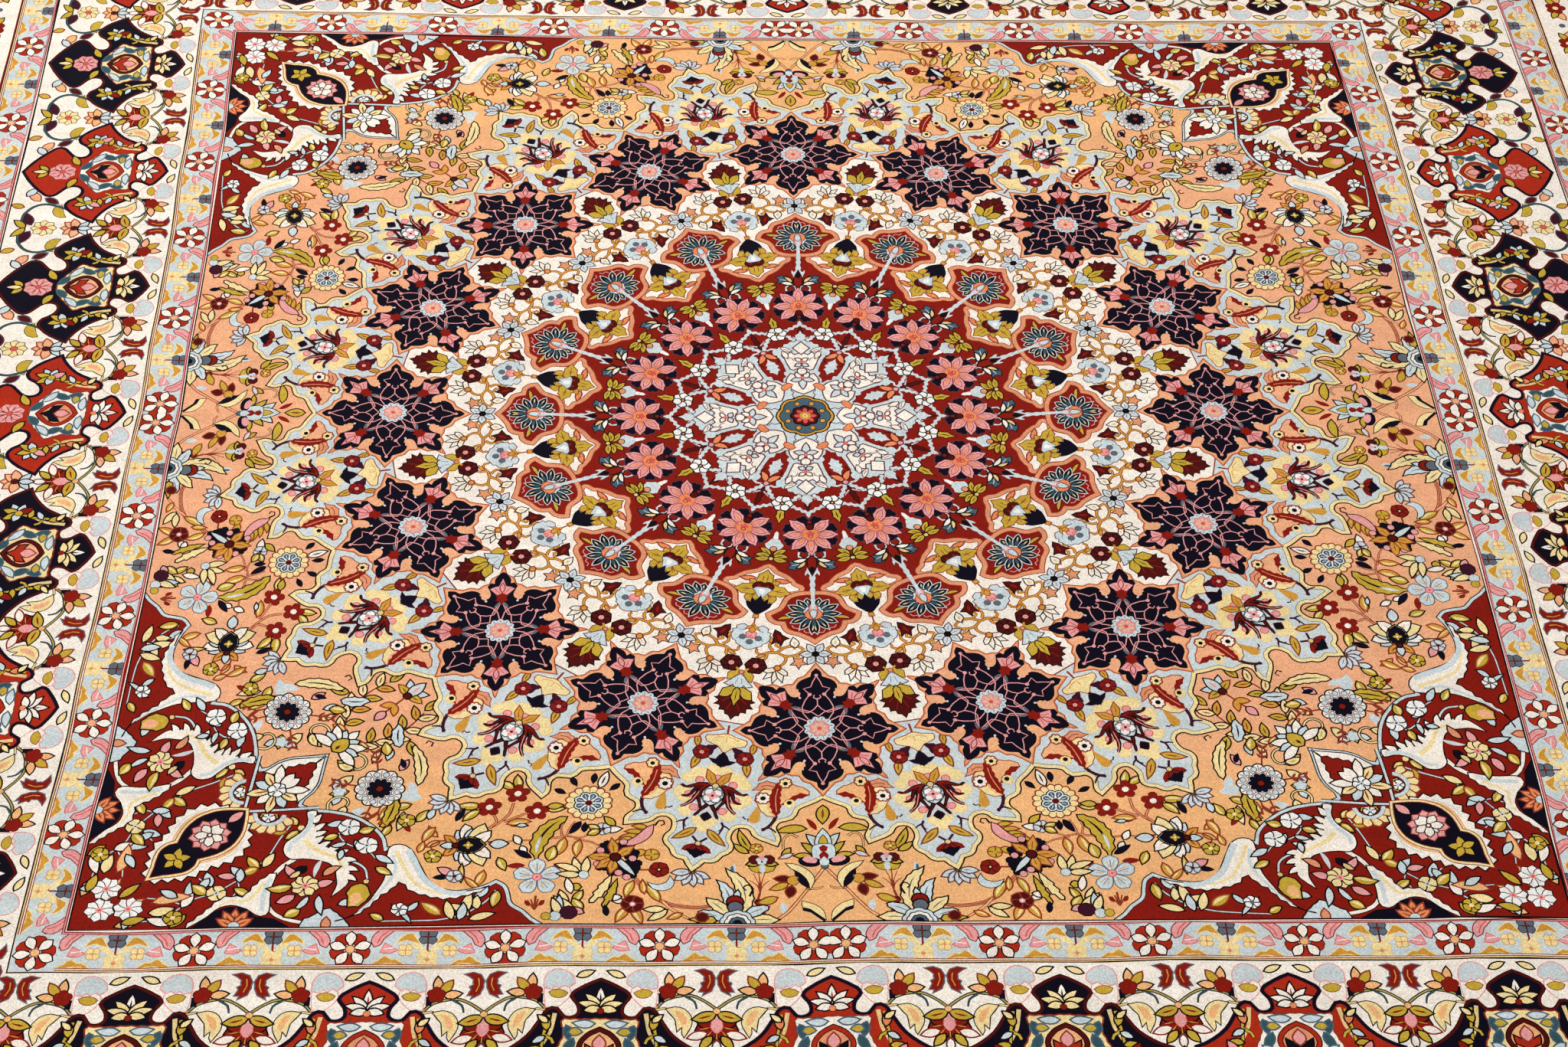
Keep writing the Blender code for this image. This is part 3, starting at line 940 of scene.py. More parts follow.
def scatter_axis():
    """Small flowers and leaves between the axis lotus and the first blue lobe."""
    out = []
    twig = [1.300+.052j, 1.290+.066j, 1.296+.078j, 1.312+.084j, 1.332+.084j]
    out += fill(line(twig, .0070, .8), "black") + fill(line(twig, .0034, .8), "gold")
    out += leaf(.030, .0062, "mustard", "black", at=1.330+.070j, facing=36)
    out += leaf(.028, .0050, "silver", "brick", at=1.346+.066j, facing=68)
    # Dark red flower over a green cup.
    out += edged(halves([0, 0, .012+.018j, .006+.030j, .006+.030j, .024+.022j, .030+.006j,
                         .030]) * turn(0) + (1.366+.130j) - 0,
                 "mustard", "black", .0020)
    out += leaf(.026, .0070, "mustard", "black", at=1.368+.136j, facing=78) + leaf(.026, .0070, "mustard",
                                                                                   "black",
                                                                              at=1.368+.124j, facing=-78)
    out += edged(disc(.0125, 1.360+.1155j, 8), "madder", "black",
                 .0016) + edged(disc(.0125, 1.360+.1445j, 8), "madder",
                                                                               "black", .0016)
    out += edged(lobed(.0125, 5, .25) * turn(0) + (1.362+.130j), "silver", "mauve", .0014)
    out += fill(petal(.022, .0055, n=3) * turn(180) + (1.366+.130j), "pink")
    out += fill(disc(.003, 1.366+.130j, 4), "plum")
    out += fill(petal(.030, .0070, n=3) + (1.370+.130j), "silver")
    # Red grass below it.
    for way, far in ((168, .055), (180, .062), (193, .055), (150, .040), (212, .040)):
        out += fill(line([1.452+.138j, 1.452+.138j + far * .5 * turn(way * .5 + 92),
                          1.452+.138j + far * turn(way)],
                         .0030, .6), "brick")
    out += fill(line([1.452+.138j, 1.476+.144j, 1.498+.142j], .0052, 1), "brick")
    out += edged(disc(.0090, 1.478+.142j, 6), "madder", "brick", .0012)
    # Leafy twig at the rim of the lobe.
    out += leaf(.062, .0085, "mustard", "black", at=1.334+.150j, facing=141, bend=30, vein="black")
    out += leaf(.036, .0070, "mustard", "black", at=1.340+.158j, facing=120, bend=20)
    out += blossom(5, .0130, "mustard", "brick", "cream", at=1.328+.140j)
    out += leaf(.034, .0068, "silver", None, at=1.372+.188j, facing=12)
    out += leaf(.026, .0040, "slate", None, at=1.376+.192j, facing=4)
    # Orange rosebud with its leaves.
    out += leaf(.032, .0080, "madder", "brick", at=1.414+.074j, facing=84, bend=15)
    out += leaf(.038, .0075, "mustard", "brick", at=1.428+.080j, facing=62, bend=10)
    out += leaf(.030, .0095, "madder", "brick", at=1.436+.072j, facing=12)
    out += edged(disc(.0125, 1.420+.068j, 8), "ochre", "black", .0016) + edged(disc(.006, 1.418+.053j, 6),
                                                                               "slate",
                                                                             "black", .0012)
    out += leaf(.040, .0085, "mustard", "brick", at=1.466+.104j, facing=62, bend=16)
    out += leaf(.036, .0075, "silver", None, at=1.478+.092j, facing=-4)
    return out


print("lotus:", len(small_lotus()), "shapes")


# %% Half palmette at the field's edge
def edge_palmette():
    """A silver and cream half palmette that stands on the field's edge."""
    c = 1.536 + .186j
    out = edged(disc(.013, 1.512+.142j, 7), "madder", "brick") + edged(disc(.010, 1.528+.122j, 7), "madder",
                                                                       "brick")
    blades = (
        # base, facing, length, half width, bend, dye
        (1.528+.168j, 258, .066, .0125, 25, "cream"), (1.516+.172j, 234, .058, .0110, 20, "silver"),
        (1.508+.178j, 206, .132, .0150, -78, "cream"), (1.508+.200j, 190, .094, .0125, -48, "silver"),
        (1.514+.206j, 150, .062, .0120, -30, "cream"), (1.524+.214j, 120, .056, .0100, -24, "silver"),
        (1.530+.230j, 104, .050, .0085, -20, "mustard"), (1.505+.190j, 182, .060, .0075, 10, "silver"),
    )
    for at, facing, length, width, bend, dye in blades:
        blade = edged(ragged(bent(petal(length, width, .4), length, bend), .0020, .010), dye, "black")
        blade += fill(bent(petal(length * .6, .0016, n=4, start=length * .2), length, bend), "grey")
        out += placed(blade, at, facing)
    out += edged(disc(.0165, 1.478+.190j, 10), "red", "black") + edged(disc(.0150, 1.492+.190j, 10), "grey",
                                                                       "black")
    for radius, dye in ((.036, "silver"), (.026, "ivory"), (.0165, "slate"), (.0080, "black")):
        out += edged(lobed(radius, 9, .10) + c, dye, "black", .0024)
    out += edged(disc(.012, 1.520+.258j, 7), "madder", "brick")
    out += fill(line([1.462+.160j, 1.440+.152j, 1.430+.162j, 1.438+.172j, 1.446+.166j], .0048, .7), "black")
    return out


def tip_burst():
    """The silver half flower at the tip of a blue lobe."""
    out = []
    for facing in (-75, -45, -16, 16, 45, 75):
        out += leaf(.040, .0078, "silver", "mauve", at=1.422, facing=facing, belly=.55)
        out += fill(petal(.022, .0012, n=3, start=.008) * turn(facing) + 1.422, "plum")
    out += edged(disc(.006, 1.420, 6), "mustard", "black", .0018)
    return out


def comb_leaf():
    """A pink crescent with a comb of mustard, beside the second blue lobe."""
    moon = smooth([1.262+.356j, 1.262+.356j, 1.286+.358j, 1.306+.374j, 1.318+.398j, 1.318+.424j, 1.318+.424j,
                   1.308+.410j, 1.296+.392j, 1.280+.378j, 1.268+.368j])
    out = []
    for spot, facing, length in ((1.270+.368j, 112, .030), (1.282+.378j, 104, .034), (1.292+.388j, 96, .034),
                                 (1.300+.398j, 92, .032), (1.308+.410j, 96, .026)):
        out += leaf(length, .0052, "mustard", "brick", at=spot, facing=facing, bend=-20)
    out += edged(moon, "pink", "black", .0026)
    curl = [1.264+.352j, 1.250+.344j, 1.250+.334j, 1.260+.332j, 1.264+.340j]
    out += fill(line(curl, .0044, .8), "black")
    return out


print("half palmette:", len(edge_palmette()), "shapes")


# %% Lily and rosette
def dark_lily():
    """The navy and gold lily, tipped to one side."""
    c = 1.352 + .434j
    out = []
    for facing, far, size in ((150, .032, .0165), (205, .026, .0150), (255, .034, .0160), (300, .042, .0175),
                              (326, .052, .0165), (5, .036, .0165), (52, .036, .0150), (100, .030, .0150)):
        out += edged(lobed(size, 5, .30) + c + far * turn(facing), "navy", "black")
    for facing, far in ((202, .046), (276, .036), (338, .060), (352, .044), (62, .042), (122, .036)):
        out += edged(disc(.0082, c + far * turn(facing), 7), "pink", "black", .0020)
    for facing, length in ((172, .050), (232, .046), (92, .054), (52, .048), (14, .044)):
        one = edged(ragged(petal(length, .0088, .55), .0014, .010), "ochre", "brick", .0026)
        one += fill(petal(length * .6, .0014, n=3, start=length * .2), "brick")
        out += placed(one, c, facing)
    out += leaf(.064, .0066, "silver", "black", at=c, facing=-38)
    out += edged(disc(.0100, c, 8), "madder", "black")
    return out


def lily_stem():
    """The salmon stem of the lily, with its leaves and flowers."""
    out = []
    path = [1.412+.396j, 1.436+.376j, 1.466+.352j, 1.486+.320j, 1.494+.270j, 1.488+.232j]
    out += fill(line(path, .0115, .8), "brick") + fill(line(path, .0070, .7), "salmon")
    out += fill(line(path, .0022), "brick")
    path = [1.476+.338j, 1.500+.318j, 1.528+.280j]
    out += fill(line(path, .0090, .8), "brick") + fill(line(path, .0048, .7), "gold")
    out += leaves([
        (1.474+.346j, 158, .052, .0085, "mustard", "brick", -18),
        (1.452+.376j, 170, .034, .0060, "ochre", "brick", 10),
        (1.420+.398j, 32, .044, .0078, "mustard", "brick", -20),
        (1.510+.300j, 60, .030, .0062, "ochre", "brick", 10),
        (1.500+.330j, 50, .044, .0080, "cream", "black", 10),
        (1.496+.336j, 84, .040, .0075, "cream", "black", 10),
        (1.490+.402j, -32, .048, .0085, "ochre", "brick", 14),
        (1.490+.408j, 40, .046, .0085, "ochre", "brick", -14),
        (1.476+.420j, 112, .030, .0075, "ivory", "black", 20),
        (1.462+.424j, 84, .026, .0065, "ivory", "black", -20),
    ])
    out += blossom(5, .0235, "madder", "brick", "pink", "white", at=1.482+.400j, facing=20)
    moon = smooth([1.408+.322j, 1.408+.322j, 1.424+.330j, 1.430+.350j, 1.424+.368j, 1.424+.368j,
                   1.440+.358j, 1.446+.340j, 1.440+.322j, 1.424+.314j])
    out += edged(moon, "silver", "black", .0020)
    out += blossom(5, .0200, "red", "madder", "black", "cream", at=1.388+.344j, facing=10)
    out += fill(line([1.388+.364j, 1.388+.388j], .0045), "brick")
    out += blossom(4, .0150, "mustard", "brick", "ochre", at=1.346+.358j, facing=45)
    out += leaf(.026, .0075, "mustard", "brick", at=1.336+.372j, facing=70)
    return out


def blue_rosette():
    """The slate rosette, with navy and mustard leaves round it."""
    c = 1.198 + .494j
    out = []
    spokes = ((186, "navy"), (150, "navy"), (118, "navy"), (82, "mustard"), (228, "navy"), (318, "mustard"),
              (4, "navy"))
    for facing, dye in spokes:
        rim = "black" if dye == "mustard" else None
        out += leaf(.032, .0078, dye, rim, at=c + .054 * turn(facing), facing=facing, belly=.55)
    out += leaf(.044, .0085, "ivory", "black", at=c + .050 * turn(204), facing=200, vein="black")
    ring = edged(lobed(.0485, 16, .13), "cream", "brick")
    ring += around(fill(line([.033, .046], .0018), "brick"), 16)
    ring += edged(lobed(.0315, 8, .16), "slate", "black", .0024)
    ring += around(edged(petal(.022, .0072, .68, .55, start=.007), "slate", "white", .0022), 8, 22.5)
    ring += around(fill(line([.014, .024], .0014), "white"), 8, 22.5)
    ring += edged(disc(.0068), "madder", "brick", .0016)
    return out + placed(ring, c)


print("lily and slate rosette:", len(dark_lily() + blue_rosette()), "shapes")


# %% Flowers farther out
def red_trio():
    """Three red flowers on thin stems."""
    out = []
    stems = ([1.196+.652j, 1.226+.658j, 1.250+.676j, 1.268+.700j], [1.226+.620j, 1.236+.640j, 1.250+.668j],
             [1.230+.690j, 1.250+.684j, 1.268+.700j])
    for path in stems:
        out += fill(line(path, .0070), "brick") + fill(line(path, .0030), "salmon")
    out += leaves([
        (1.154+.642j, 158, .036, .0085, "mustard", "black", 20),
        (1.154+.656j, 128, .034, .0080, "mustard", "black", -10),
        (1.216+.582j, 268, .038, .0088, "mustard", "black", 0),
        (1.200+.722j, 84, .046, .0095, "mustard", "black", 18),
        (1.214+.722j, 58, .042, .0085, "mustard", "black", -18),
        (1.256+.660j, 252, .046, .0078, "ochre", "brick", 26),
        (1.244+.770j, 204, .044, .0085, "navy", None, 0),
        (1.262+.640j, 262, .020, .0040, "silver", "black", 20),
    ])
    for spot in (1.170+.645j, 1.222+.601j, 1.206+.702j):
        for k in range(5):
            out += edged(disc(.0098, spot + .0165 * turn(72 * k + 180), 8), "red", "madder", .0012)
        out += edged(disc(.0080, spot, 7), "ivory", "brick", .0014)
    return out


def feather():
    """The long mustard feather and the red twigs that cross it."""
    out = []
    twigs = ([1.300+.560j, 1.294+.536j, 1.298+.508j, 1.288+.486j], [1.294+.536j, 1.272+.530j, 1.252+.520j],
             [1.294+.545j, 1.270+.548j, 1.252+.540j], [1.298+.560j, 1.306+.590j, 1.304+.640j, 1.308+.664j],
             [1.300+.520j, 1.310+.484j, 1.322+.466j])
    for path in twigs:
        out += fill(line(path, .0062, .7), "brick") + fill(line(path, .0024, .6), "salmon")
    out += leaves([
        (1.306+.508j, 18, .044, .0085, "ochre", "brick", -18),
        (1.300+.540j, 8, .052, .0095, "ochre", "brick", 26),
        (1.250+.506j, 32, .046, .0090, "navy", None, 0), (1.276+.456j, -98, .034, .0080, "ivory", "black", 0),
        (1.314+.632j, 152, .026, .0070, "ivory", "black", 0),
        (1.322+.630j, -30, .022, .0060, "ivory", "black", 0),
        (1.246+.632j, 30, .024, .0058, "ivory", "black", 40),
    ])
    out += blossom(5, .0165, "silver", "mauve", "madder", at=1.272+.460j, facing=10)
    out += leaves([(1.276+.468j, 122, .026, .0078, "mustard", "black", 0),
                   (1.276+.468j, 62, .026, .0078, "mustard",
                                                                              "black", 0)])
    long = edged(ragged(bent(petal(.140, .0150, .5), .140, -66), .0040, .012), "mustard", "black")
    long += fill(bent(petal(.110, .0026, n=6, start=.014), .140, -66), "black")
    long += fill(bent(petal(.050, .0040, n=5, start=.074), .140, -66), "silver")
    out += placed(long, 1.240+.538j, 60)
    out += leaves([(1.362+.572j, 196, .040, .0110, "mustard", "black", 0),
                   (1.356+.606j, 124, .048, .0090, "navy", None, 0),
                   (1.382+.566j, 258, .036, .0082, "red", None, 0),
                   (1.376+.620j, 92, .040, .0082, "red", None, 0)])
    return out


def silver_flower():
    """A silver flower with five parted petals over a sprig of red."""
    one = edged(petal(.046, .0165, .66, .5, start=.004), "silver", "grey", .0024)
    one += both(fill(line([.018+.003j, .034+.008j], .0018), "ochre")) + fill(line([.014, .038], .0018),
                                                                             "grey")
    out = around(one, 5, 36)
    out += edged(disc(.0090), "pink", "rose", .0022) + fill(disc(.0032, n=5), "rose")
    out = placed(out, 1.408+.596j)
    for way in (150, 165, 195, 210):
        out += fill(line([1.498+.600j, 1.498+.600j + .030 * turn(way)], .0036), "brick")
    out += fill(line([1.460+.598j, 1.496+.600j], .0052), "brick")
    out += leaves([(1.488+.610j, 150, .020, .0052, "red", None, 0),
                   (1.488+.590j, 210, .020, .0052, "red", None, 0)])
    return out


def cream_lotus():
    """The cream lotus that lies on its side, with a navy heart."""
    c = 1.312 + .752j
    out = fill(line([1.304+.664j, 1.306+.700j], .0060), "brick")
    blades = (
        # angle from the axis, length, half width, dye
        (84, .044, .0120, "silver"), (64, .060, .0130, "ivory"), (46, .050, .0105, "silver"),
        (30, .074, .0150, "cream"),
        (10, .070, .0125, "ivory"),
    )
    for angle, length, width, dye in blades:
        for side in (1, -1):
            one = edged(bent(petal(length, width, .60, .7), length, side * 46), dye, "black")
            one += fill(bent(petal(length * .6, .0016, n=4, start=length * .2), length, side * 42), "ochre")
            out += placed(one, c, -90 + side * angle)
    out += leaf(.036, .0110, "silver", "black", at=1.312+.694j, facing=-90)
    almond = petal(.056, .0180, .48, .6, n=6) * turn(-90) + (c + .014j)
    out += edged(grow(almond, .0040), "cream", "black") + edged(almond, "navy", "black")
    out += placed(around(fill(petal(.011, .0040, n=3), "mustard"), 4),
                  c - .012j) + fill(disc(.003, c - .012j, 5), "ivory")
    out += leaf(.036, .0088, "ochre", "brick", at=c + .014j, facing=150, bend=-20, vein="brick")
    out += leaf(.036, .0088, "ochre", "brick", at=c + .014j, facing=30, bend=20, vein="brick")
    out += leaf(.028, .0080, "silver", "black", at=c + .016j, facing=90)
    out += edged(disc(.0060, c + .014j, 7), "madder", "black")
    out += leaves([
        (1.352+.676j, -22, .036, .0085, "mustard", "black", 0),
        (1.386+.706j, 12, .046, .0085, "ochre", "brick", 24),
        (1.432+.716j, 130, .040, .0060, "ochre", "brick", 14),
        (1.392+.770j, 120, .034, .0090, "pink", "black", 0),
        (1.398+.776j, 84, .036, .0080, "navy", None, 0),
        (1.412+.752j, 176, .046, .0055, "mustard", "black", 10),
        (1.286+.806j, 132, .032, .0060, "ochre", "brick", 30),
        (1.262+.812j, 40, .044, .0080, "ochre", "brick", -20),
        (1.300+.800j, 60, .030, .0060, "ochre", "brick", 0),
    ])
    out += blossom(5, .0165, "silver", "mauve", "madder", at=1.398+.766j)
    out += blossom(5, .0180, "mustard", "black", "cream", at=1.342+.812j, facing=36)
    out += fill(line([1.328+.812j, 1.312+.818j, 1.300+.800j, 1.298+.786j], .0040), "brick")
    return out


def border_sprays():
    """Cream and mustard sprays along the edge of the field."""
    out = []
    out += saw(.085, .0105, "cream", "black", 4, bend=16, at=1.404+.444j, facing=22, depth=.4)
    out += saw(.078, .0085, "mustard", "black", 4, bend=10, at=1.416+.432j, facing=16, depth=.4)
    out += leaves([
        (1.396+.506j, 152, .042, .0080, "cream", "black", 20),
        (1.398+.500j, 196, .044, .0080, "cream", "black", -12),
        (1.392+.510j, 118, .050, .0078, "cream", "black", -14),
        (1.402+.508j, 88, .046, .0078, "cream", "black", 10),
        (1.436+.506j, 92, .020, .0085, "mustard", "black", 0),
        (1.516+.452j, 172, .034, .0075, "navy", None, 0),
        (1.452+.526j, 168, .040, .0075, "ivory", "black", 0),
        (1.476+.520j, 210, .034, .0078, "mustard", "black", 0),
        (1.500+.504j, 150, .036, .0100, "mustard", "black", 0),
        (1.484+.534j, 152, .040, .0085, "cream", "black", 14),
        (1.500+.520j, 128, .054, .0100, "cream", "black", 10),
        (1.506+.500j, 112, .030, .0080, "pink", "black", 0),
        (1.520+.560j, 200, .060, .0100, "silver", "black", -20),
        (1.512+.548j, 160, .046, .0085, "cream", "black", 0),
    ])
    out += edged(disc(.011, 1.402+.500j, 7), "silver", "black", .0016)
    out += edged(disc(.018, 1.506+.530j, 9), "plum", "black", .0016) + edged(disc(.0125, 1.516+.558j, 8),
                                                                             "silver",
                                                                           "black", .0016)
    out += edged(disc(.010, 1.516+.576j, 7), "mustard", "black", .0016)
    return out


CURL_SIZE = 0.030
CURL_TURN = 250
TWIG_LENGTH = 0.055


def tendrils():
    """Curls and leafy twigs round the daisy: a shrinking spiral and a straight twig, repeated."""
    share = np.linspace(0, 1, 9)
    spiral = CURL_SIZE * (1 - 0.6 * share) * np.exp(1j * math.radians(CURL_TURN) * share)
    curl = fill(line(spiral, .0080), "black") + fill(line(spiral, .0038, .6), "cream")
    curl += leaf(.034, .0085, "cream", "black", at=spiral[-1], facing=CURL_TURN + 60, bend=40, vein="mustard")
    twig = fill(line([0, TWIG_LENGTH], .0046, .6), "brick")
    for step in (0.35, 0.6, 0.85):
        twig += both(leaf(.018, .0034, "brick", None, at=TWIG_LENGTH * step, facing=45))
    out = []
    for turned in (60, 140):
        out += placed(curl, 1.152+.938j + 0.088 * turn(turned), turned)
    for turned in (15, 100, 170):
        out += placed(twig, 1.152+.938j + 0.050 * turn(turned), turned)
    return out


print("three red flowers:", len(red_trio()), "shapes")


# %% Flowers by the corner panels
def daisy():
    """The navy-hearted daisy beside the diagonal."""
    out = edged(lobed(.0520, 12, .12, phase=15), "ivory", "black")
    out += around(fill(line([.030, .050], .0020), "brick"), 12)
    out += around(edged(disc(.0060, .0390, 7), "silver", "slate", .0020), 12, 15)
    out += edged(lobed(.0300, 10, .14), "silver", "brick", .0018)
    out += around(edged(petal(.022, .0060, .66, .5, start=.006), "navy", "black", .0010), 10, 18)
    out += edged(disc(.0072), "red", "black")
    return tendrils() + placed(out, 1.152+.938j)


def corner_burst():
    """The white and mustard burst that points at the corner panel, on the diagonal."""
    out = []
    for k in range(-4, 5):
        length = .062 if k % 2 == 0 else .050
        out += leaf(length, .0100, "ivory" if k % 2 == 0 else "silver", "black", at=1.470,
                    facing=180 + 24 * k, belly=.6)
    out += leaf(.044, .0165, "mustard", "black", at=1.482, facing=180, blunt=.6)
    out += fill(petal(.016, .0035, n=3, start=.006) * turn(180) + 1.482, "madder")
    return out


def diagonal_twigs():
    """Leafy twigs to each side of the diagonal (diagonal frame)."""
    out = []
    spine = [1.452, 1.420+.034j, 1.372+.058j, 1.318+.066j, 1.270+.060j]
    out += both(fill(line(spine, .0056, .6), "brick"))
    spots = ((1.430+.030j, 120), (1.412+.036j, 208), (1.400+.048j, 128), (1.376+.054j, 214),
             (1.366+.062j, 118), (1.336+.060j, 220), (1.332+.068j, 126), (1.296+.062j, 226),
             (1.290+.064j, 140), (1.262+.056j, 176))
    dyes = ("cream", "mustard", "cream", "ochre")
    for k, (spot, facing) in enumerate(spots):
        out += both(leaf(.037, .0080, dyes[k % 4], "black", at=spot, facing=facing, bend=14, vein="brick"))
    out += both(leaf(.038, .0090, "mustard", "black", at=1.348+.098j, facing=58, vein="black"))
    out += both(leaf(.030, .0075, "silver", "black", at=1.390+.086j, facing=30))
    # A cup of silver and pink where the twigs end, on the diagonal.
    out += both(leaf(.044, .0095, "silver", "black", at=1.262, facing=150, bend=-24))
    out += both(leaf(.036, .0085, "mustard", "brick", at=1.262, facing=112, bend=-24, vein="brick"))
    out += leaf(.050, .0120, "pale", "black", at=1.262, facing=180, vein="pink")
    out += edged(disc(.0080, 1.264), "madder", "black")
    out += fill(line([1.272, 1.300, 1.330], .0044), "brick")
    out += both(leaf(.030, .0070, "ochre", "brick", at=1.300, facing=40)) + leaf(.030, .0090, "pink",
                                                                                 "black", at=1.330)
    return out


def field_scatter():
    """Loose leaves and small blossoms that fill the gold ground."""
    out = leaves([
        (1.168+.860j, 150, .040, .0100, "silver", None, 20),
        (1.176+.850j, 100, .052, .0105, "pale", "silver", 0),
        (1.196+.868j, 70, .040, .0090, "mustard", "black", 0),
        (1.200+.908j, 20, .046, .0085, "mustard", "brick", 20),
        (1.214+.930j, 34, .044, .0050, "brick", None, 20),
        (1.208+.960j, 60, .056, .0100, "silver", None, -10),
        (1.220+.880j, 0, .050, .0090, "cream", "black", 20), (1.276+.862j, 150, .044, .0075, "red", None, 0),
        (1.244+.850j, 212, .036, .0085, "mustard", "black", 0),
        (1.118+1.000j, 40, .040, .0095, "cream", "black", 40),
        (1.100+.998j, 110, .044, .0095, "mustard", "black", 30),
        (1.160+1.004j, 80, .036, .0090, "mustard", "black", 0),
        (1.168+1.020j, 20, .030, .0085, "silver", "black", 0),
        (1.156+1.024j, 160, .030, .0085, "silver", "black", 0),
        (1.060+.930j, 170, .034, .0100, "mustard", "black", 0),
        (1.080+.960j, 200, .036, .0060, "cream", "black", 0),
        (1.238+.898j, 60, .034, .0080, "ochre", "brick", 10),
        (1.222+.996j, -40, .030, .0060, "ochre", "brick", 10),
    ])
    for at, facing, length, bend, dye in ((1.138+.858j, 192, .110, -44, "cream"),
                                          (1.172+.902j, -4, .096, 34, "mustard"),
                                          (1.036+.906j, 160, .062, 40, "silver")):
        one = edged(ragged(bent(petal(length, .0110, .45), length, bend), .0028, .010), dye, "black")
        one += fill(bent(petal(length * .7, .0018, n=5, start=length * .14), length, bend), "black")
        out += placed(one, at, facing)
    out += fill(line([1.034+.838j, 1.024+.834j, 1.018+.844j, 1.026+.850j], .0042, .8), "black")
    out += leaves([
        (1.100+.900j, 210, .030, .0075, "pink", "black", 0), (1.096+.890j, 160, .030, .0070, "navy", None, 0),
        (1.258+.905j, 20, .034, .0070, "mustard", "black", 20),
        (1.050+.975j, 150, .030, .0070, "ochre", "brick", 0),
        (1.236+.826j, 190, .030, .0070, "silver", "black", 20),
        (1.330+.842j, 200, .028, .0062, "ochre", "brick", 0),
    ])
    out += blossom(5, .0180, "mustard", "black", "cream", at=1.242+.872j, facing=12)
    out += edged(lobed(.0150, 5, .3) + (1.160+1.022j), "silver", "black", .0014)
    out += fill(line([1.202+.930j, 1.222+.934j, 1.244+.926j, 1.262+.910j], .0044, .7), "brick")
    return out


print("daisy:", len(daisy()), "shapes")


# %% [markdown]
# ## The corner panels
# Each corner of the field is a red panel with an edge of silver and black. Cream leaves scroll through it, a
# navy lunette sits on the field's edge, and a navy almond with a saw-edged halo lies on the diagonal. A
# scroll has one plain side and one side of teeth, so the saw edge starts only after the plain part of its
# outline.

# %% The panel and its scrolls
def panel_outline():
    """One corner panel (half, to the diagonal), from the field's edge to the diagonal."""
    pts = [1.535+.585j, 1.535+.585j, 1.520+.604j, 1.498+.622j, 1.478+.646j, 1.452+.652j, 1.428+.660j,
           1.412+.680j, 1.412+.680j, 1.426+.704j, 1.436+.736j, 1.438+.768j, 1.428+.802j, 1.410+.826j,
           1.378+.842j, 1.346+.854j, 1.322+.872j, 1.316+.894j, 1.320+.908j, 1.320+.908j, 1.290+.915j,
           1.262+.936j, 1.236+.968j, 1.220+1.004j, 1.212+1.040j, 1.208+1.070j, 1.196+1.096j, 1.196+1.096j,
           1.180+1.092j, 1.160+1.076j, 1.136+1.066j, 1.108+1.062j, 1.080+1.060j, 1.056+1.056j]
    return [complex(p) for p in pts]


def corner_panel():
    """The red corner panel, with a cream-silver band along its edge."""
    half = panel_outline()
    other = [1j * p.conjugate() for p in reversed(half)]
    shape = smooth(half + other, False)
    beyond = FIELD_HALF + .065
    closed = np.concatenate([shape, np.array([.585 + beyond * 1j, beyond + beyond * 1j, beyond + .585j])])
    out = edged(closed, "silver", "black", .0026)
    inner = grow(closed, -.0088)
    out += edged(inner, "red", "black", .0018)
    return out


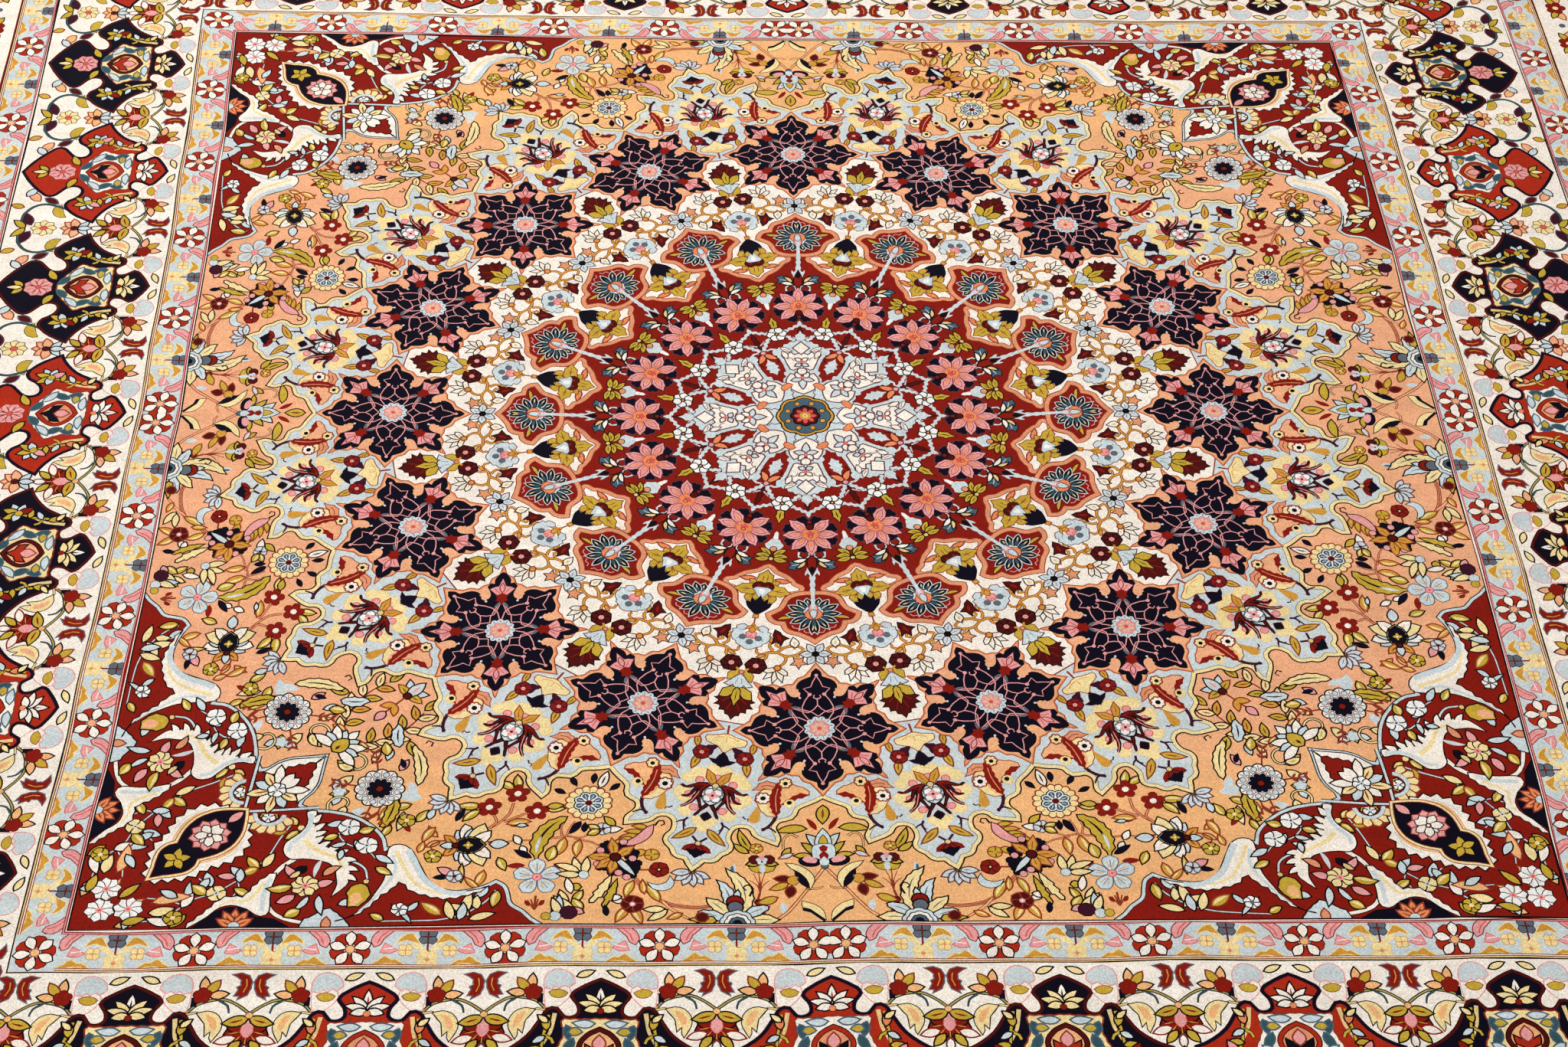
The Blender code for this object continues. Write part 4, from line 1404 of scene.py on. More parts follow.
def scrolls():
    """The cream scrolls of the corner panel, on one side of the diagonal."""
    def acanthus(outer, inner, tooth=.0046, pitch=.0125):
        """A long leaf with a plain outer side and a saw-edged inner side."""
        plain, sawn = smooth(outer, False), smooth(inner, False)
        share = np.abs(np.diff(plain)).sum()
        share /= share + np.abs(np.diff(sawn)).sum()
        return edged(ragged(np.concatenate([plain, sawn]), tooth, pitch, share), "ivory", "black", .0030)

    # Wreath line of the great circle, and its inner ring.
    ring = [1.204+1.060j, 1.208+1.100j, 1.212+1.150j, 1.216+1.215j]
    out = fill(line(ring, .0110), "black") + fill(line(ring, .0058), "silver")
    circle = [1.350+1.096j, 1.368+1.118j, 1.392+1.134j, 1.420+1.142j, 1.452+1.144j, 1.480+1.140j,
              1.502+1.124j, 1.516+1.098j, 1.524+1.066j]
    out += fill(line(circle, .0150, .8), "black") + fill(line(circle, .0096, .8), "ivory")
    small = [1.354+.996j, 1.362+.970j, 1.380+.950j, 1.408+.944j]
    out += fill(line(small, .0096, .8), "black") + fill(line(small, .0050, .8), "silver")
    out += edged(disc(.0062, 1.414+.946j, 5), "sand", "black", .0020)
    # The pale dome on the field's edge, under the circle.
    dome = smooth([1.540+.972j, 1.540+.972j, 1.522+.982j, 1.510+.992j, 1.500+1.002j, 1.486+1.018j,
                   1.486+1.018j, 1.496+1.036j, 1.508+1.046j, 1.516+1.064j, 1.540+1.072j, 1.540+1.072j])
    out += edged(ragged(dome, .0018, .010), "silver", "black")
    out += edged(petal(.034, .0085, n=4) * -1 + 1.545 + 1.020j, "salmon", "brick")
    # The root at the cusp: one arm runs along the panel's edge, the other down to the field's edge.
    outer = [1.433+.702j, 1.438+.722j, 1.442+.746j, 1.442+.768j, 1.434+.790j, 1.420+.808j, 1.404+.822j,
             1.380+.833j, 1.356+.843j, 1.332+.853j, 1.316+.867j, 1.311+.882j, 1.316+.900j, 1.340+.906j,
             1.375+.905j, 1.405+.908j, 1.430+.917j, 1.455+.929j, 1.478+.941j, 1.500+.960j, 1.516+.982j,
             1.524+1.012j]
    inner = [1.508+.970j, 1.490+.948j, 1.470+.930j, 1.450+.916j, 1.436+.898j, 1.424+.890j, 1.408+.875j,
             1.408+.875j, 1.424+.862j, 1.438+.850j, 1.444+.832j, 1.452+.808j, 1.456+.786j, 1.454+.764j,
             1.448+.742j, 1.441+.722j]
    out += acanthus(outer, inner)
    out += fill(line([1.444+.740j, 1.444+.770j, 1.434+.796j, 1.412+.822j, 1.386+.838j, 1.350+.852j,
                      1.326+.864j], .0125,
                     1.2), "silver")
    out += fill(line([1.330+.888j, 1.362+.876j, 1.392+.862j, 1.420+.844j, 1.436+.818j, 1.444+.790j], .0090,
                     .5), "cream")
    out += fill(line([1.340+.894j, 1.380+.888j, 1.412+.898j, 1.440+.914j, 1.470+.934j, 1.496+.956j], .0080,
                     .5), "silver")
    # A saw-edged band on both sides of the diamond by the cusp.
    out += acanthus([1.062+1.064j, 1.082+1.066j, 1.108+1.068j, 1.136+1.072j, 1.160+1.083j, 1.176+1.096j,
                     1.188+1.106j],
                    [1.176+1.110j, 1.156+1.098j, 1.134+1.086j, 1.108+1.080j, 1.084+1.074j], .0050, .0110)
    # The hook round the inner ring.
    outer = [1.216+1.064j, 1.232+1.064j, 1.250+1.066j]
    inner = [1.262+1.058j, 1.280+1.056j, 1.298+1.056j, 1.310+1.046j, 1.318+1.030j, 1.328+1.014j,
             1.338+1.000j, 1.348+.990j, 1.364+.985j, 1.384+.982j, 1.404+.983j, 1.424+.988j, 1.450+1.012j,
             1.450+1.012j, 1.424+1.004j, 1.400+1.006j, 1.380+1.010j, 1.364+1.020j, 1.355+1.036j,
             1.350+1.054j, 1.347+1.080j, 1.349+1.100j, 1.340+1.114j, 1.324+1.120j, 1.304+1.116j,
             1.290+1.102j, 1.276+1.088j, 1.258+1.078j, 1.238+1.076j, 1.218+1.080j]
    hook = smooth(outer + inner)
    out += edged(grow(hook, .0010), "ivory", "black", .0030)
    for k, spot in enumerate((1.240+1.062j, 1.262+1.056j, 1.280+1.054j, 1.298+1.054j, 1.312+1.042j,
                              1.322+1.022j, 1.334+1.004j, 1.352+.988j, 1.376+.982j, 1.400+.982j)):
        facing = (196, 214, 230, 216, 222, 236, 228, 262, 276, 290)[k]
        out += leaf(.028, .0070, "ivory", "black", at=spot - .009 * turn(facing), facing=facing, bend=24,
                    belly=.35)
    out += fill(grow(hook, -.0012), "ivory")
    out += fill(line([1.222+1.072j, 1.256+1.072j, 1.284+1.086j, 1.306+1.106j, 1.330+1.110j], .0100, .8),
                "silver")
    out += fill(line([1.296+1.078j, 1.320+1.060j, 1.336+1.034j, 1.350+1.008j, 1.378+.996j], .0120, .5),
                "cream")
    # The trunk from the ring to the lunette.
    outer = [1.535+1.300j, 1.515+1.272j, 1.500+1.256j, 1.485+1.244j, 1.478+1.228j, 1.476+1.210j, 1.482+1.196j,
             1.488+1.180j, 1.498+1.170j, 1.506+1.154j, 1.500+1.140j, 1.480+1.138j, 1.450+1.140j, 1.420+1.138j,
             1.390+1.130j]
    inner = [1.394+1.142j, 1.406+1.156j, 1.418+1.166j, 1.432+1.176j, 1.448+1.184j, 1.458+1.196j, 1.456+1.214j,
             1.458+1.230j, 1.468+1.244j, 1.486+1.258j, 1.508+1.278j, 1.526+1.296j]
    out += acanthus(outer, inner, .0040, .0120)
    out += fill(line([1.404+1.142j, 1.440+1.152j, 1.470+1.152j, 1.494+1.152j], .0110, .8), "silver")
    out += fill(line([1.416+1.154j, 1.444+1.168j, 1.466+1.186j, 1.466+1.216j, 1.478+1.242j], .0080, .5),
                "cream")
    # Navy lunette on the field's edge.
    lun = smooth([1.535+1.096j, 1.535+1.096j, 1.524+1.112j, 1.514+1.130j, 1.512+1.152j, 1.508+1.168j,
                  1.494+1.180j,
                  1.486+1.198j, 1.484+1.220j, 1.494+1.244j, 1.514+1.264j, 1.535+1.288j, 1.535+1.288j])
    out += edged(np.concatenate([lun, np.array([1.56+1.288j, 1.56+1.096j])]), "navy", "black", .0024)
    for facing, length in ((180, .046), (150, .046), (210, .046), (122, .040), (238, .040)):
        out += leaf(length, .0085, "orange", "brick", at=1.536+1.205j, facing=facing, vein="brick")
    out += edged(disc(.012, 1.534+1.205j, 8), "silver", "black", .0014)
    # Flowers within the ring.
    out += leaves([
        (1.396+1.034j, 214, .040, .0080, "salmon", "black", 40),
        (1.352+1.040j, 30, .052, .0055, "silver", None, -30),
        (1.372+1.072j, 40, .030, .0085, "navy", "black", 40),
        (1.398+1.090j, 128, .038, .0085, "pink", "black", 30),
        (1.424+1.098j, 60, .050, .0100, "mustard", "black", 40),
        (1.450+1.090j, 50, .040, .0095, "pink", "black", 20),
        (1.424+1.048j, 250, .036, .0090, "pink", "black", 0),
        (1.454+1.062j, 20, .042, .0060, "silver", "black", 30),
        (1.452+1.040j, 0, .050, .0075, "silver", "black", -20),
        (1.490+1.076j, 60, .034, .0110, "mustard", "black", 0),
        (1.476+.998j, 250, .036, .0085, "silver", "black", 0),
        (1.384+1.084j, 30, .026, .0060, "sand", "black", 40),
    ])
    out += blossom(8, .0290, "cream", "black", "pink", "rose", at=1.424+1.070j, facing=12)
    # White flowers and leaves between the two circles.
    out += leaves([
        (1.330+.958j, 150, .034, .0090, "silver", "black", 0),
        (1.276+.968j, 252, .032, .0095, "mustard", "black", 0),
        (1.246+1.004j, 60, .034, .0080, "silver", "black", 30),
        (1.284+1.012j, 70, .030, .0080, "mustard", "black", 0),
        (1.342+.930j, 300, .040, .0080, "silver", "black", 0),
        (1.376+.928j, 300, .036, .0085, "mustard", "black", 0),
        (1.306+.994j, 60, .030, .0055, "silver", "black", 30),
        (1.326+1.000j, 10, .026, .0060, "silver", "black", 0),
    ])
    for spot in (1.314+.950j, 1.262+.990j):
        out += blossom(5, .0235, "white", "black", "silver", "mauve", at=spot, facing=20, share=.98)
    leafy = smooth([1.424+.948j, 1.424+.948j, 1.422+.964j, 1.432+.976j, 1.446+.982j, 1.460+.978j, 1.480+.980j,
                    1.480+.980j, 1.480+.958j, 1.468+.948j, 1.456+.938j, 1.440+.940j])
    out += edged(ragged(leafy, .0018, .009), "mustard", "black")
    out += fill(leafy * .6 + .4 * (1.478+.972j), "gold")
    return out


print("scrolls on one side of the diagonal:", len(scrolls()), "shapes")


# %% Leaves on the red
def panel_fill():
    """Leaves, thin vines and small flowers on the red of the corner panel."""
    out = []
    for path in ([1.250+1.110j, 1.290+1.130j, 1.340+1.150j, 1.380+1.180j, 1.410+1.210j, 1.440+1.250j,
                  1.460+1.300j],
                 [1.410+1.210j, 1.430+1.205j, 1.452+1.214j], [1.440+1.250j, 1.420+1.270j, 1.402+1.290j],
                 [1.460+1.300j, 1.490+1.330j, 1.510+1.370j, 1.514+1.410j],
                 [1.470+1.320j, 1.456+1.350j, 1.450+1.390j],
                 [1.440+.680j, 1.470+.700j, 1.500+.740j, 1.516+.790j, 1.520+.850j, 1.522+.910j],
                 [1.262+.990j, 1.280+1.010j, 1.310+.990j, 1.326+.950j, 1.350+.930j]):
        out += fill(line(path, .0068, .8), "black") + fill(line(path, .0032, .8), "silver")
    out += leaves([
        (1.442+.676j, 12, .044, .0100, "mustard", "black", 0),
        (1.430+.696j, 30, .040, .0080, "silver", "black", 30),
        (1.488+.716j, 168, .034, .0085, "cream", "black", 20),
        (1.500+.740j, 180, .056, .0100, "cream", "black", 20),
        (1.506+.732j, 140, .050, .0090, "cream", "black", -20),
        (1.516+.752j, 200, .044, .0090, "silver", "black", -20),
        (1.514+.766j, 160, .050, .0090, "cream", "black", 10),
        (1.516+.730j, -110, .050, .0085, "cream", "black", 10),
        (1.502+.790j, 128, .050, .0100, "mustard", "brick", 0),
        (1.524+.850j, 150, .060, .0050, "silver", "black", -20),
        (1.518+.906j, 120, .030, .0080, "mustard", "black", 0),
        (1.470+.838j, 30, .034, .0060, "silver", "black", 30),
        (1.376+1.168j, 130, .040, .0100, "mustard", "black", 20),
        (1.372+1.160j, 208, .042, .0085, "cream", "black", 0),
        (1.376+1.172j, 60, .034, .0085, "mustard", "brick", 0),
        (1.398+1.196j, 120, .040, .0090, "silver", "black", 20),
        (1.414+1.206j, 180, .036, .0085, "silver", "black", 0),
        (1.400+1.216j, 96, .036, .0080, "pink", "black", 0),
        (1.432+1.214j, -60, .040, .0090, "mustard", "black", 0),
        (1.424+1.262j, 150, .040, .0100, "silver", "black", 20),
        (1.404+1.270j, 30, .036, .0085, "silver", "black", 0),
        (1.446+1.270j, 128, .044, .0110, "mustard", "black", 0),
        (1.470+1.300j, 158, .060, .0075, "silver", "black", 30),
        (1.478+1.316j, 208, .040, .0100, "ivory", "black", 0),
        (1.462+1.376j, 250, .074, .0120, "gold", "brick", 20),
        (1.490+1.380j, 268, .050, .0110, "cream", "black", -20),
        (1.500+1.306j, 40, .040, .0085, "mustard", "black", 0),
        (1.520+1.330j, 96, .054, .0100, "ivory", "black", 20),
        (1.510+1.400j, 70, .046, .0110, "gold", "black", 0),
        (1.450+1.330j, 120, .040, .0085, "silver", "black", 0),
        (1.270+1.096j, 36, .034, .0080, "mustard", "black", 20),
        (1.274+1.120j, 100, .034, .0090, "mustard", "brick", -20),
        (1.254+1.100j, 150, .026, .0075, "mustard", "black", 0),
        (1.502+1.420j, 10, .030, .0080, "silver", "black", 0),
    ])
    out += blossom(4, .0210, "cream", "black", "silver", "mauve", at=1.444+1.250j, facing=20, share=.8)
    out += blossom(6, .0175, "white", "black", "grey", at=1.490+.874j, facing=10)
    out += blossom(5, .0190, "mustard", "black", "cream", at=1.506+1.330j, facing=10)
    out += edged(disc(.0075, 1.262+1.090j, 6), "cream", "black", .0016)
    # A fan of gold below the wreath line.
    fan = []
    for facing in (-64, -38, -13, 13, 38, 64):
        fan += saw(.058, .0125, "cream", "brick", 2, facing=facing, depth=.2)
    fan += edged(disc(.036, n=16), "silver", "grey", .0010) + edged(disc(.026, n=14), "red", "black", .0012)
    fan += leaf(.022, .0080, "mustard", "black", facing=62) + leaf(.022, .0080, "mustard", "black",
                                                                   facing=-62)
    fan += blossom(5, .0145, "white", "black", "silver", at=.010)
    upper = [(np.where(z.real < .001, .001 + 1j * z.imag, z), dye) for z, dye in fan]
    out += placed(upper, 1.222+1.160j, 4)
    return out


print("leaves on the red:", len(panel_fill()), "shapes")


# %% The almond and the daisies
def almond():
    """The navy almond on the diagonal (diagonal frame)."""
    out = []
    body = halves([1.722, 1.722, 1.738+.018j, 1.764+.040j, 1.796+.052j, 1.828+.050j, 1.856+.038j, 1.872+.028j,
                   1.872+.028j, 1.888+.038j, 1.908+.038j, 1.928+.026j, 1.944+.012j, 1.962, 1.962])
    cuff = halves([1.742+.030j, 1.756+.058j, 1.780+.078j, 1.812+.086j, 1.846+.078j, 1.872+.064j, 1.900+.060j,
                   1.926+.048j, 1.950+.026j, 1.968+.012j, 1.976, 1.976])
    out += edged(ragged(cuff, .0110, .0130), "ivory", "black")
    out += both(fill(line([1.764+.052j, 1.800+.068j, 1.840+.064j, 1.876+.046j], .0080, .5), "gold"))
    out += both(fill(line([1.770+.064j, 1.812+.078j, 1.850+.070j], .0040, .5), "silver"))
    out += both(fill(line([1.884+.048j, 1.916+.044j, 1.946+.022j], .0060, .5), "salmon"))
    out += banded(grow(body, .0110), .0052, "cream", "navy", "brick")
    flower = around(edged(petal(.044, .0110, .65, .6, n=5), "pink", "brick", .0024), 10)
    flower += around(edged(petal(.032, .0095, .6, .6, n=4), "ivory", "black", .0026), 6, 15)
    flower += fill(disc(.008, n=6), "madder") + fill(disc(.004, n=5), "white")
    out += placed(flower, 1.812)
    out += placed(around(edged(petal(.030, .0085, .45, .8, n=4), "mustard", "black", .0026), 5), 1.902)
    out += edged(petal(.040, .0095, .5, .7, n=5, start=1.722), "pink", "black")
    return out


def diagonal_fill():
    """The white lily and the daisies on the corner's diagonal (diagonal frame)."""
    out = []
    c = 1.632
    for facing in (0, 34, 68, 102, 136, 170):
        dye = "cream" if facing in (34, 102) else "silver" if facing == 68 else "ivory"
        for side in ((1, -1) if facing else (1,)):
            out += leaf(.062 if facing in (34, 136) else .050, .0100, dye, "black",
                        at=c + .004 * turn(side * facing),
                        facing=side * facing, belly=.6, vein="brick" if dye == "cream" else None)
    out += blossom(6, .0200, "white", "black", "silver", "mauve", at=c)
    out += edged(petal(.044, .0062, n=4, start=1.990), "pink", "mauve", .0022)
    out += both(leaf(.070, .0080, "gold", "brick", at=2.078+.010j, facing=150, bend=10))
    for spot in (2.052 + .038j, 2.052 - .038j, 2.096):
        out += placed(around(edged(petal(.031, .0098, .7, .5, n=4), "white", "black", .0020), 8, 10), spot)
        out += placed(fill(disc(.0085, n=7), "pink") + fill(disc(.004, n=5), "rose"), spot)
    out += both(leaf(.046, .0095, "mustard", "black", at=2.084+.060j, facing=150, bend=0))
    out += leaf(.050, .0085, "mustard", "black", at=2.046, facing=180)
    return out


print("almond:", len(almond()), "shapes")


# %% [markdown]
# ## The borders
# Two pale-blue guard stripes with star flowers hold the main border between them. The main border is ivory,
# with red and navy cartouches by turns, and a red palmette between vines in each gap. An outer stripe of
# small flowers and a plain ivory band end the rug. The photograph cuts these last two off, so they are plain
# guesses. A border repeats along the side, so its unit is drawn once and moved by its spacing.

# %% Guard stripes
def moved(shapes, v):
    """The shapes carried along a side."""
    return placed(shapes, 1j * v)


def four_squares(at, size, dye, rim, mark):
    """A small flower of four squares, as a knotter counts it."""
    out = []
    for way in (1, 1j, -1, -1j):
        box = np.array([.10 + .10j, .86 + .02j, 1.08 + .55j, .86 + .86j, .55 + 1.08j,
                        .02 + .86j]) * size * way
        out += edged(box + at, dye, rim, .0016)
    out += fill(disc(size * .26, at, 5), mark)
    return out


def guard_unit(middle, spacing):
    """Half a repeat of the guard stripe: from a star flower to the small flowers halfway."""
    m = middle
    out = []
    half = spacing / 2 * 1j
    # Pink striped leaf on the inner side.
    stripe = smooth([m-.048+.062j, m-.048+.062j, m-.036+.048j, m-.020+.042j, m-.006+.048j, m-.006+.048j,
                     m-.012+.060j, m-.026+.066j, m-.036+.076j, m-.048+.088j, m-.048+.088j])
    out += edged(stripe, "pink", "red", .0022)
    out += fill(line([m-.044+.074j, m-.030+.060j, m-.014+.054j], .0024), "rose")
    # Gold cap over the small flower.
    cap = smooth([m-.016+.094j, m-.016+.094j, m-.026+.100j, m-.036+.112j, m-.038+.124j, m-.028+.130j,
                  m-.016+.138j, m-.016+.138j, m-.020+.122j, m-.024+.112j])
    out += edged(cap, "ochre", "cream", .0024)
    # The moustache leaf beside the flower.
    tash = smooth([m+.050+.030j, m+.050+.030j, m+.038+.046j, m+.022+.066j, m+.016+.072j, m+.016+.072j,
                   m+.026+.078j, m+.026+.092j, m+.034+.104j, m+.046+.112j, m+.046+.112j, m+.040+.088j,
                   m+.040+.070j, m+.048+.052j])
    out += edged(ragged(tash, .0016, .009), "ochre", "cream", .0024)
    out += fill(line([m+.044+.046j, m+.036+.066j, m+.034+.088j, m+.040+.104j], .0030, .5), "cream")
    # Cream arms, the small flowers, and the pink tulip.
    out += fill(line([m + .012 + half, m - .006 + half - .016j, m - .012 + half - .030j], .0120), "cream")
    out += four_squares(m + .002 + half - .044j, .0125, "cream", "ochre", "orange")
    tulip = smooth([m+.002+half-.060j, m+.002+half-.060j, m-.006+half-.072j, m-.014+half-.086j,
                    m-.014+half-.086j, m+.008+half-.094j, m+.008+half-.094j, m+.010+half-.076j])
    out += edged(tulip, "pink", "rose", .0016)
    out += fill(line([m - .004 + half - .066j, m + half - .088j], .0020), "white")
    return out


def guard_flower(middle):
    """The star flower of the guard: five ivory petals, five red squares between them."""
    out = around(edged(lobed(.0150, 4, .16) + .027, "scarlet", "madder", .0018), 5)
    out += around(edged(petal(.034, .0100, .6, .7, n=5, start=.008), "ivory", "black", .0028), 5, 36)
    out += edged(disc(.0090), "gold", "brick", .0020)
    return placed(out, middle)


def guard_middle(middle, spacing):
    """The stem and two small flowers halfway between star flowers."""
    c = middle + spacing / 2 * 1j
    out = fill(line([c - .020, c + .030], .0042), "red")
    out += fill(line([c + .004 - .008j, c + .004 + .008j], .0030), "red")
    out += four_squares(c - .032, .0165, "grey", "black", "red")
    out += four_squares(c + .024, .0195, "cream", "sand", "orange")
    return out


# A strip starts a little before the middle of its side and ends past the corner, where the mirrors cut it.
STRIP_START = -0.05j
STRIP_END = 2.4j


def strip(inner, outer, dye):
    """A plain band of one dye along a side."""
    return fill([inner + STRIP_START, outer + STRIP_START, outer + STRIP_END, inner + STRIP_END], dye)


def stripe_lines(inner, width):
    """The thin lines that edge a stripe, along the whole side."""
    out = []
    outer = inner + width
    for a, b, dye in ((0, .0034, "black"), (.0034, .0052, "ivory"), (.0052, .0080, "red"),
                      (.0080, .0104, "pink"), (.0104, .0122, "red")):
        out += strip(inner + a, inner + b, dye)
    for a, b, dye in ((-.0122, -.0102, "red"), (-.0102, -.0080, "ivory"), (-.0080, -.0056, "brick"),
                      (-.0056, -.0030, "sand"), (-.0030, 0, "black")):
        out += strip(outer + a, outer + b, dye)
    return out


def guard(inner, width, first, spacing, count, corner):
    """A pale-blue guard stripe from the middle of a side to the corner."""
    middle = inner + .0565
    out = strip(inner, inner + width, "pale")
    for k in range(-1, count + 1):
        at = first + k * spacing
        unit = guard_unit(middle, spacing)
        out += moved(unit, at)
        if at > .05:
            out += moved([(np.conj(z - middle) + middle, dye) for z, dye in unit], at)
        out += moved(guard_middle(middle, spacing), at)
        out += moved(guard_flower(middle), at)
    out += stripe_lines(inner, width)
    # The flower that turns the corner.
    c = corner * (1 + 1j)
    out += fill(c + .045 * np.array([-1 - 1j, 1 - 1j, 1 + 1j, -1 + 1j]), "pale")
    out += placed(guard_flower(0), c, 45)
    return out


print("guard unit:", len(guard_unit(0, 0.31)), "shapes")


# %% Cartouches
CARTOUCHE = [1.672, 1.672, 1.682+.022j, 1.691+.036j, 1.700+.050j, 1.712+.057j, 1.722+.050j, 1.735+.043j,
             1.752+.042j, 1.762+.054j, 1.762+.070j, 1.752+.079j, 1.742+.086j, 1.740+.096j, 1.748+.108j,
             1.762+.115j, 1.785+.128j, 1.805+.142j, 1.823+.162j, 1.838+.185j, 1.846+.205j, 1.846+.205j,
             1.868+.192j, 1.890+.176j, 1.908+.156j, 1.916+.138j, 1.908+.120j, 1.896+.112j, 1.884+.098j,
             1.879+.080j, 1.886+.064j, 1.902+.058j, 1.918+.062j, 1.928+.072j, 1.938+.086j, 1.950+.098j,
             1.966+.098j, 1.984+.080j, 2.004+.054j, 2.020+.028j, 2.034, 2.034]


def cartouche(ground, rim, seam):
    """One cartouche of the main border, standing on the axis."""
    shape = halves(CARTOUCHE)
    out = fill(grow(shape, .0052), seam)
    out += fill(grow(shape, .0036), rim)
    inner = grow(shape, -.0036)
    out += fill(grow(inner, .0016), seam) + fill(inner, ground)
    # Tulip at the inner end.
    out += leaf(.050, .0085, "ivory", "black", at=1.742, facing=180, vein=ground)
    for facing, length in ((152, .046), (122, .046), (96, .032)):
        out += both(leaf(length, .0080, "ivory" if ground != "navy" else "cream", "black", at=1.742,
                         facing=facing, bend=-24))
    out += edged(disc(.0070, 1.746, 7), "red" if ground == "navy" else "orange", "black", .0012)
    # The ornate middle: a frame of ivory scrolls, and a ringed lozenge with a flower in it.
    frame = halves([1.766, 1.768+.030j, 1.768+.060j, 1.768+.076j, 1.768+.076j, 1.796+.068j, 1.820+.074j,
                    1.846+.086j, 1.846+.086j, 1.860+.066j, 1.878+.042j, 1.890+.016j, 1.894, 1.894])
    out += edged(ragged(frame, .0018, .010), "cream" if ground == "navy" else "ivory", "brick")
    for spot, facing, length, dye in ((1.776+.012j, 82, .040, "silver"), (1.782+.066j, -20, .030, "teal"),
                                      (1.812+.052j, 18, .040, "teal"), (1.842+.074j, -58, .044, "silver"),
                                      (1.872+.038j, -62, .034, "teal"), (1.796+.060j, -100, .024, "mustard")):
        out += both(leaf(length, .0078, dye, "slate", at=spot, facing=facing, bend=20))
    loz = halves([1.784, 1.784, 1.796+.022j, 1.812+.037j, 1.830+.043j, 1.848+.038j, 1.866+.022j, 1.880,
                  1.880])
    out += banded(loz, .0080, "madder" if ground == "navy" else "scarlet",
                  "gold" if ground == "navy" else "salmon",
                  "black")
    cup = halves([1.838, 1.834+.012j, 1.826+.026j, 1.826+.026j, 1.844+.024j, 1.850+.010j, 1.866, 1.866])
    out += edged(cup, "scarlet" if ground == "navy" else "navy", "black")
    out += edged(petal(.034, .0120, .55, n=5, start=1.804), "pink", "brick")
    out += both(fill(line([1.752+.090j, 1.772+.093j, 1.796+.097j, 1.824+.110j], .0090, .6), "sand"))
    # Side sprays.
    for path in ([1.756+.102j, 1.782+.106j, 1.802+.110j, 1.826+.112j],
                 [1.802+.110j, 1.812+.094j, 1.822+.090j],
                 [1.826+.112j, 1.846+.120j, 1.860+.124j]):
        out += both(fill(line(path, .0105, .8), "black") + fill(line(path, .0062, .8), "mustard"))
    out += both(leaf(.034, .0080, "mustard" if ground == "navy" else "orange", "black", at=1.790+.104j,
                     facing=170))
    out += both(leaf(.026, .0062, "silver", "black", at=1.806+.108j, facing=60))
    out += both(leaf(.024, .0058, "cream", "black", at=1.772+.104j, facing=130))
    out += both(leaf(.026, .0062, "mustard", "black", at=1.836+.112j, facing=100))
    for facing, length, dye in ((60, .034, "silver"), (110, .030, "silver"), (20, .036, "mustard"),
                                (-30, .036, "mustard"),
                                (150, .034, "pink" if ground != "navy" else "red"), (-70, .026, "silver")):
        out += both(leaf(length, .0082, dye, "black", at=1.862+.126j, facing=facing))
    out += both(edged(disc(.0085, 1.862+.126j, 7), "mustard", "black", .0014))
    # The pink flower and its leaves at the outer end.
    out += both(leaf(.040, .0085, "mustard", "black", at=1.900+.030j, facing=48, bend=30))
    flower = around(edged(petal(.034, .0125, .68, .5, n=5), "pink", "brick", .0016), 8, 22.5)
    flower += around(fill(petal(.022, .0012, n=3, start=.008), "madder"), 8, 22.5)
    flower += edged(disc(.0070, n=7), "rose", "brick", .0012)
    out += placed(flower, 1.938)
    out += both(leaf(.030, .0070, "mustard", "black", at=1.974+.004j, facing=42))
    out += leaf(.034, .0062, "cream", "black", at=1.976)
    return out


print("cartouche:", len(cartouche("scarlet", "navy", "plum")), "shapes")


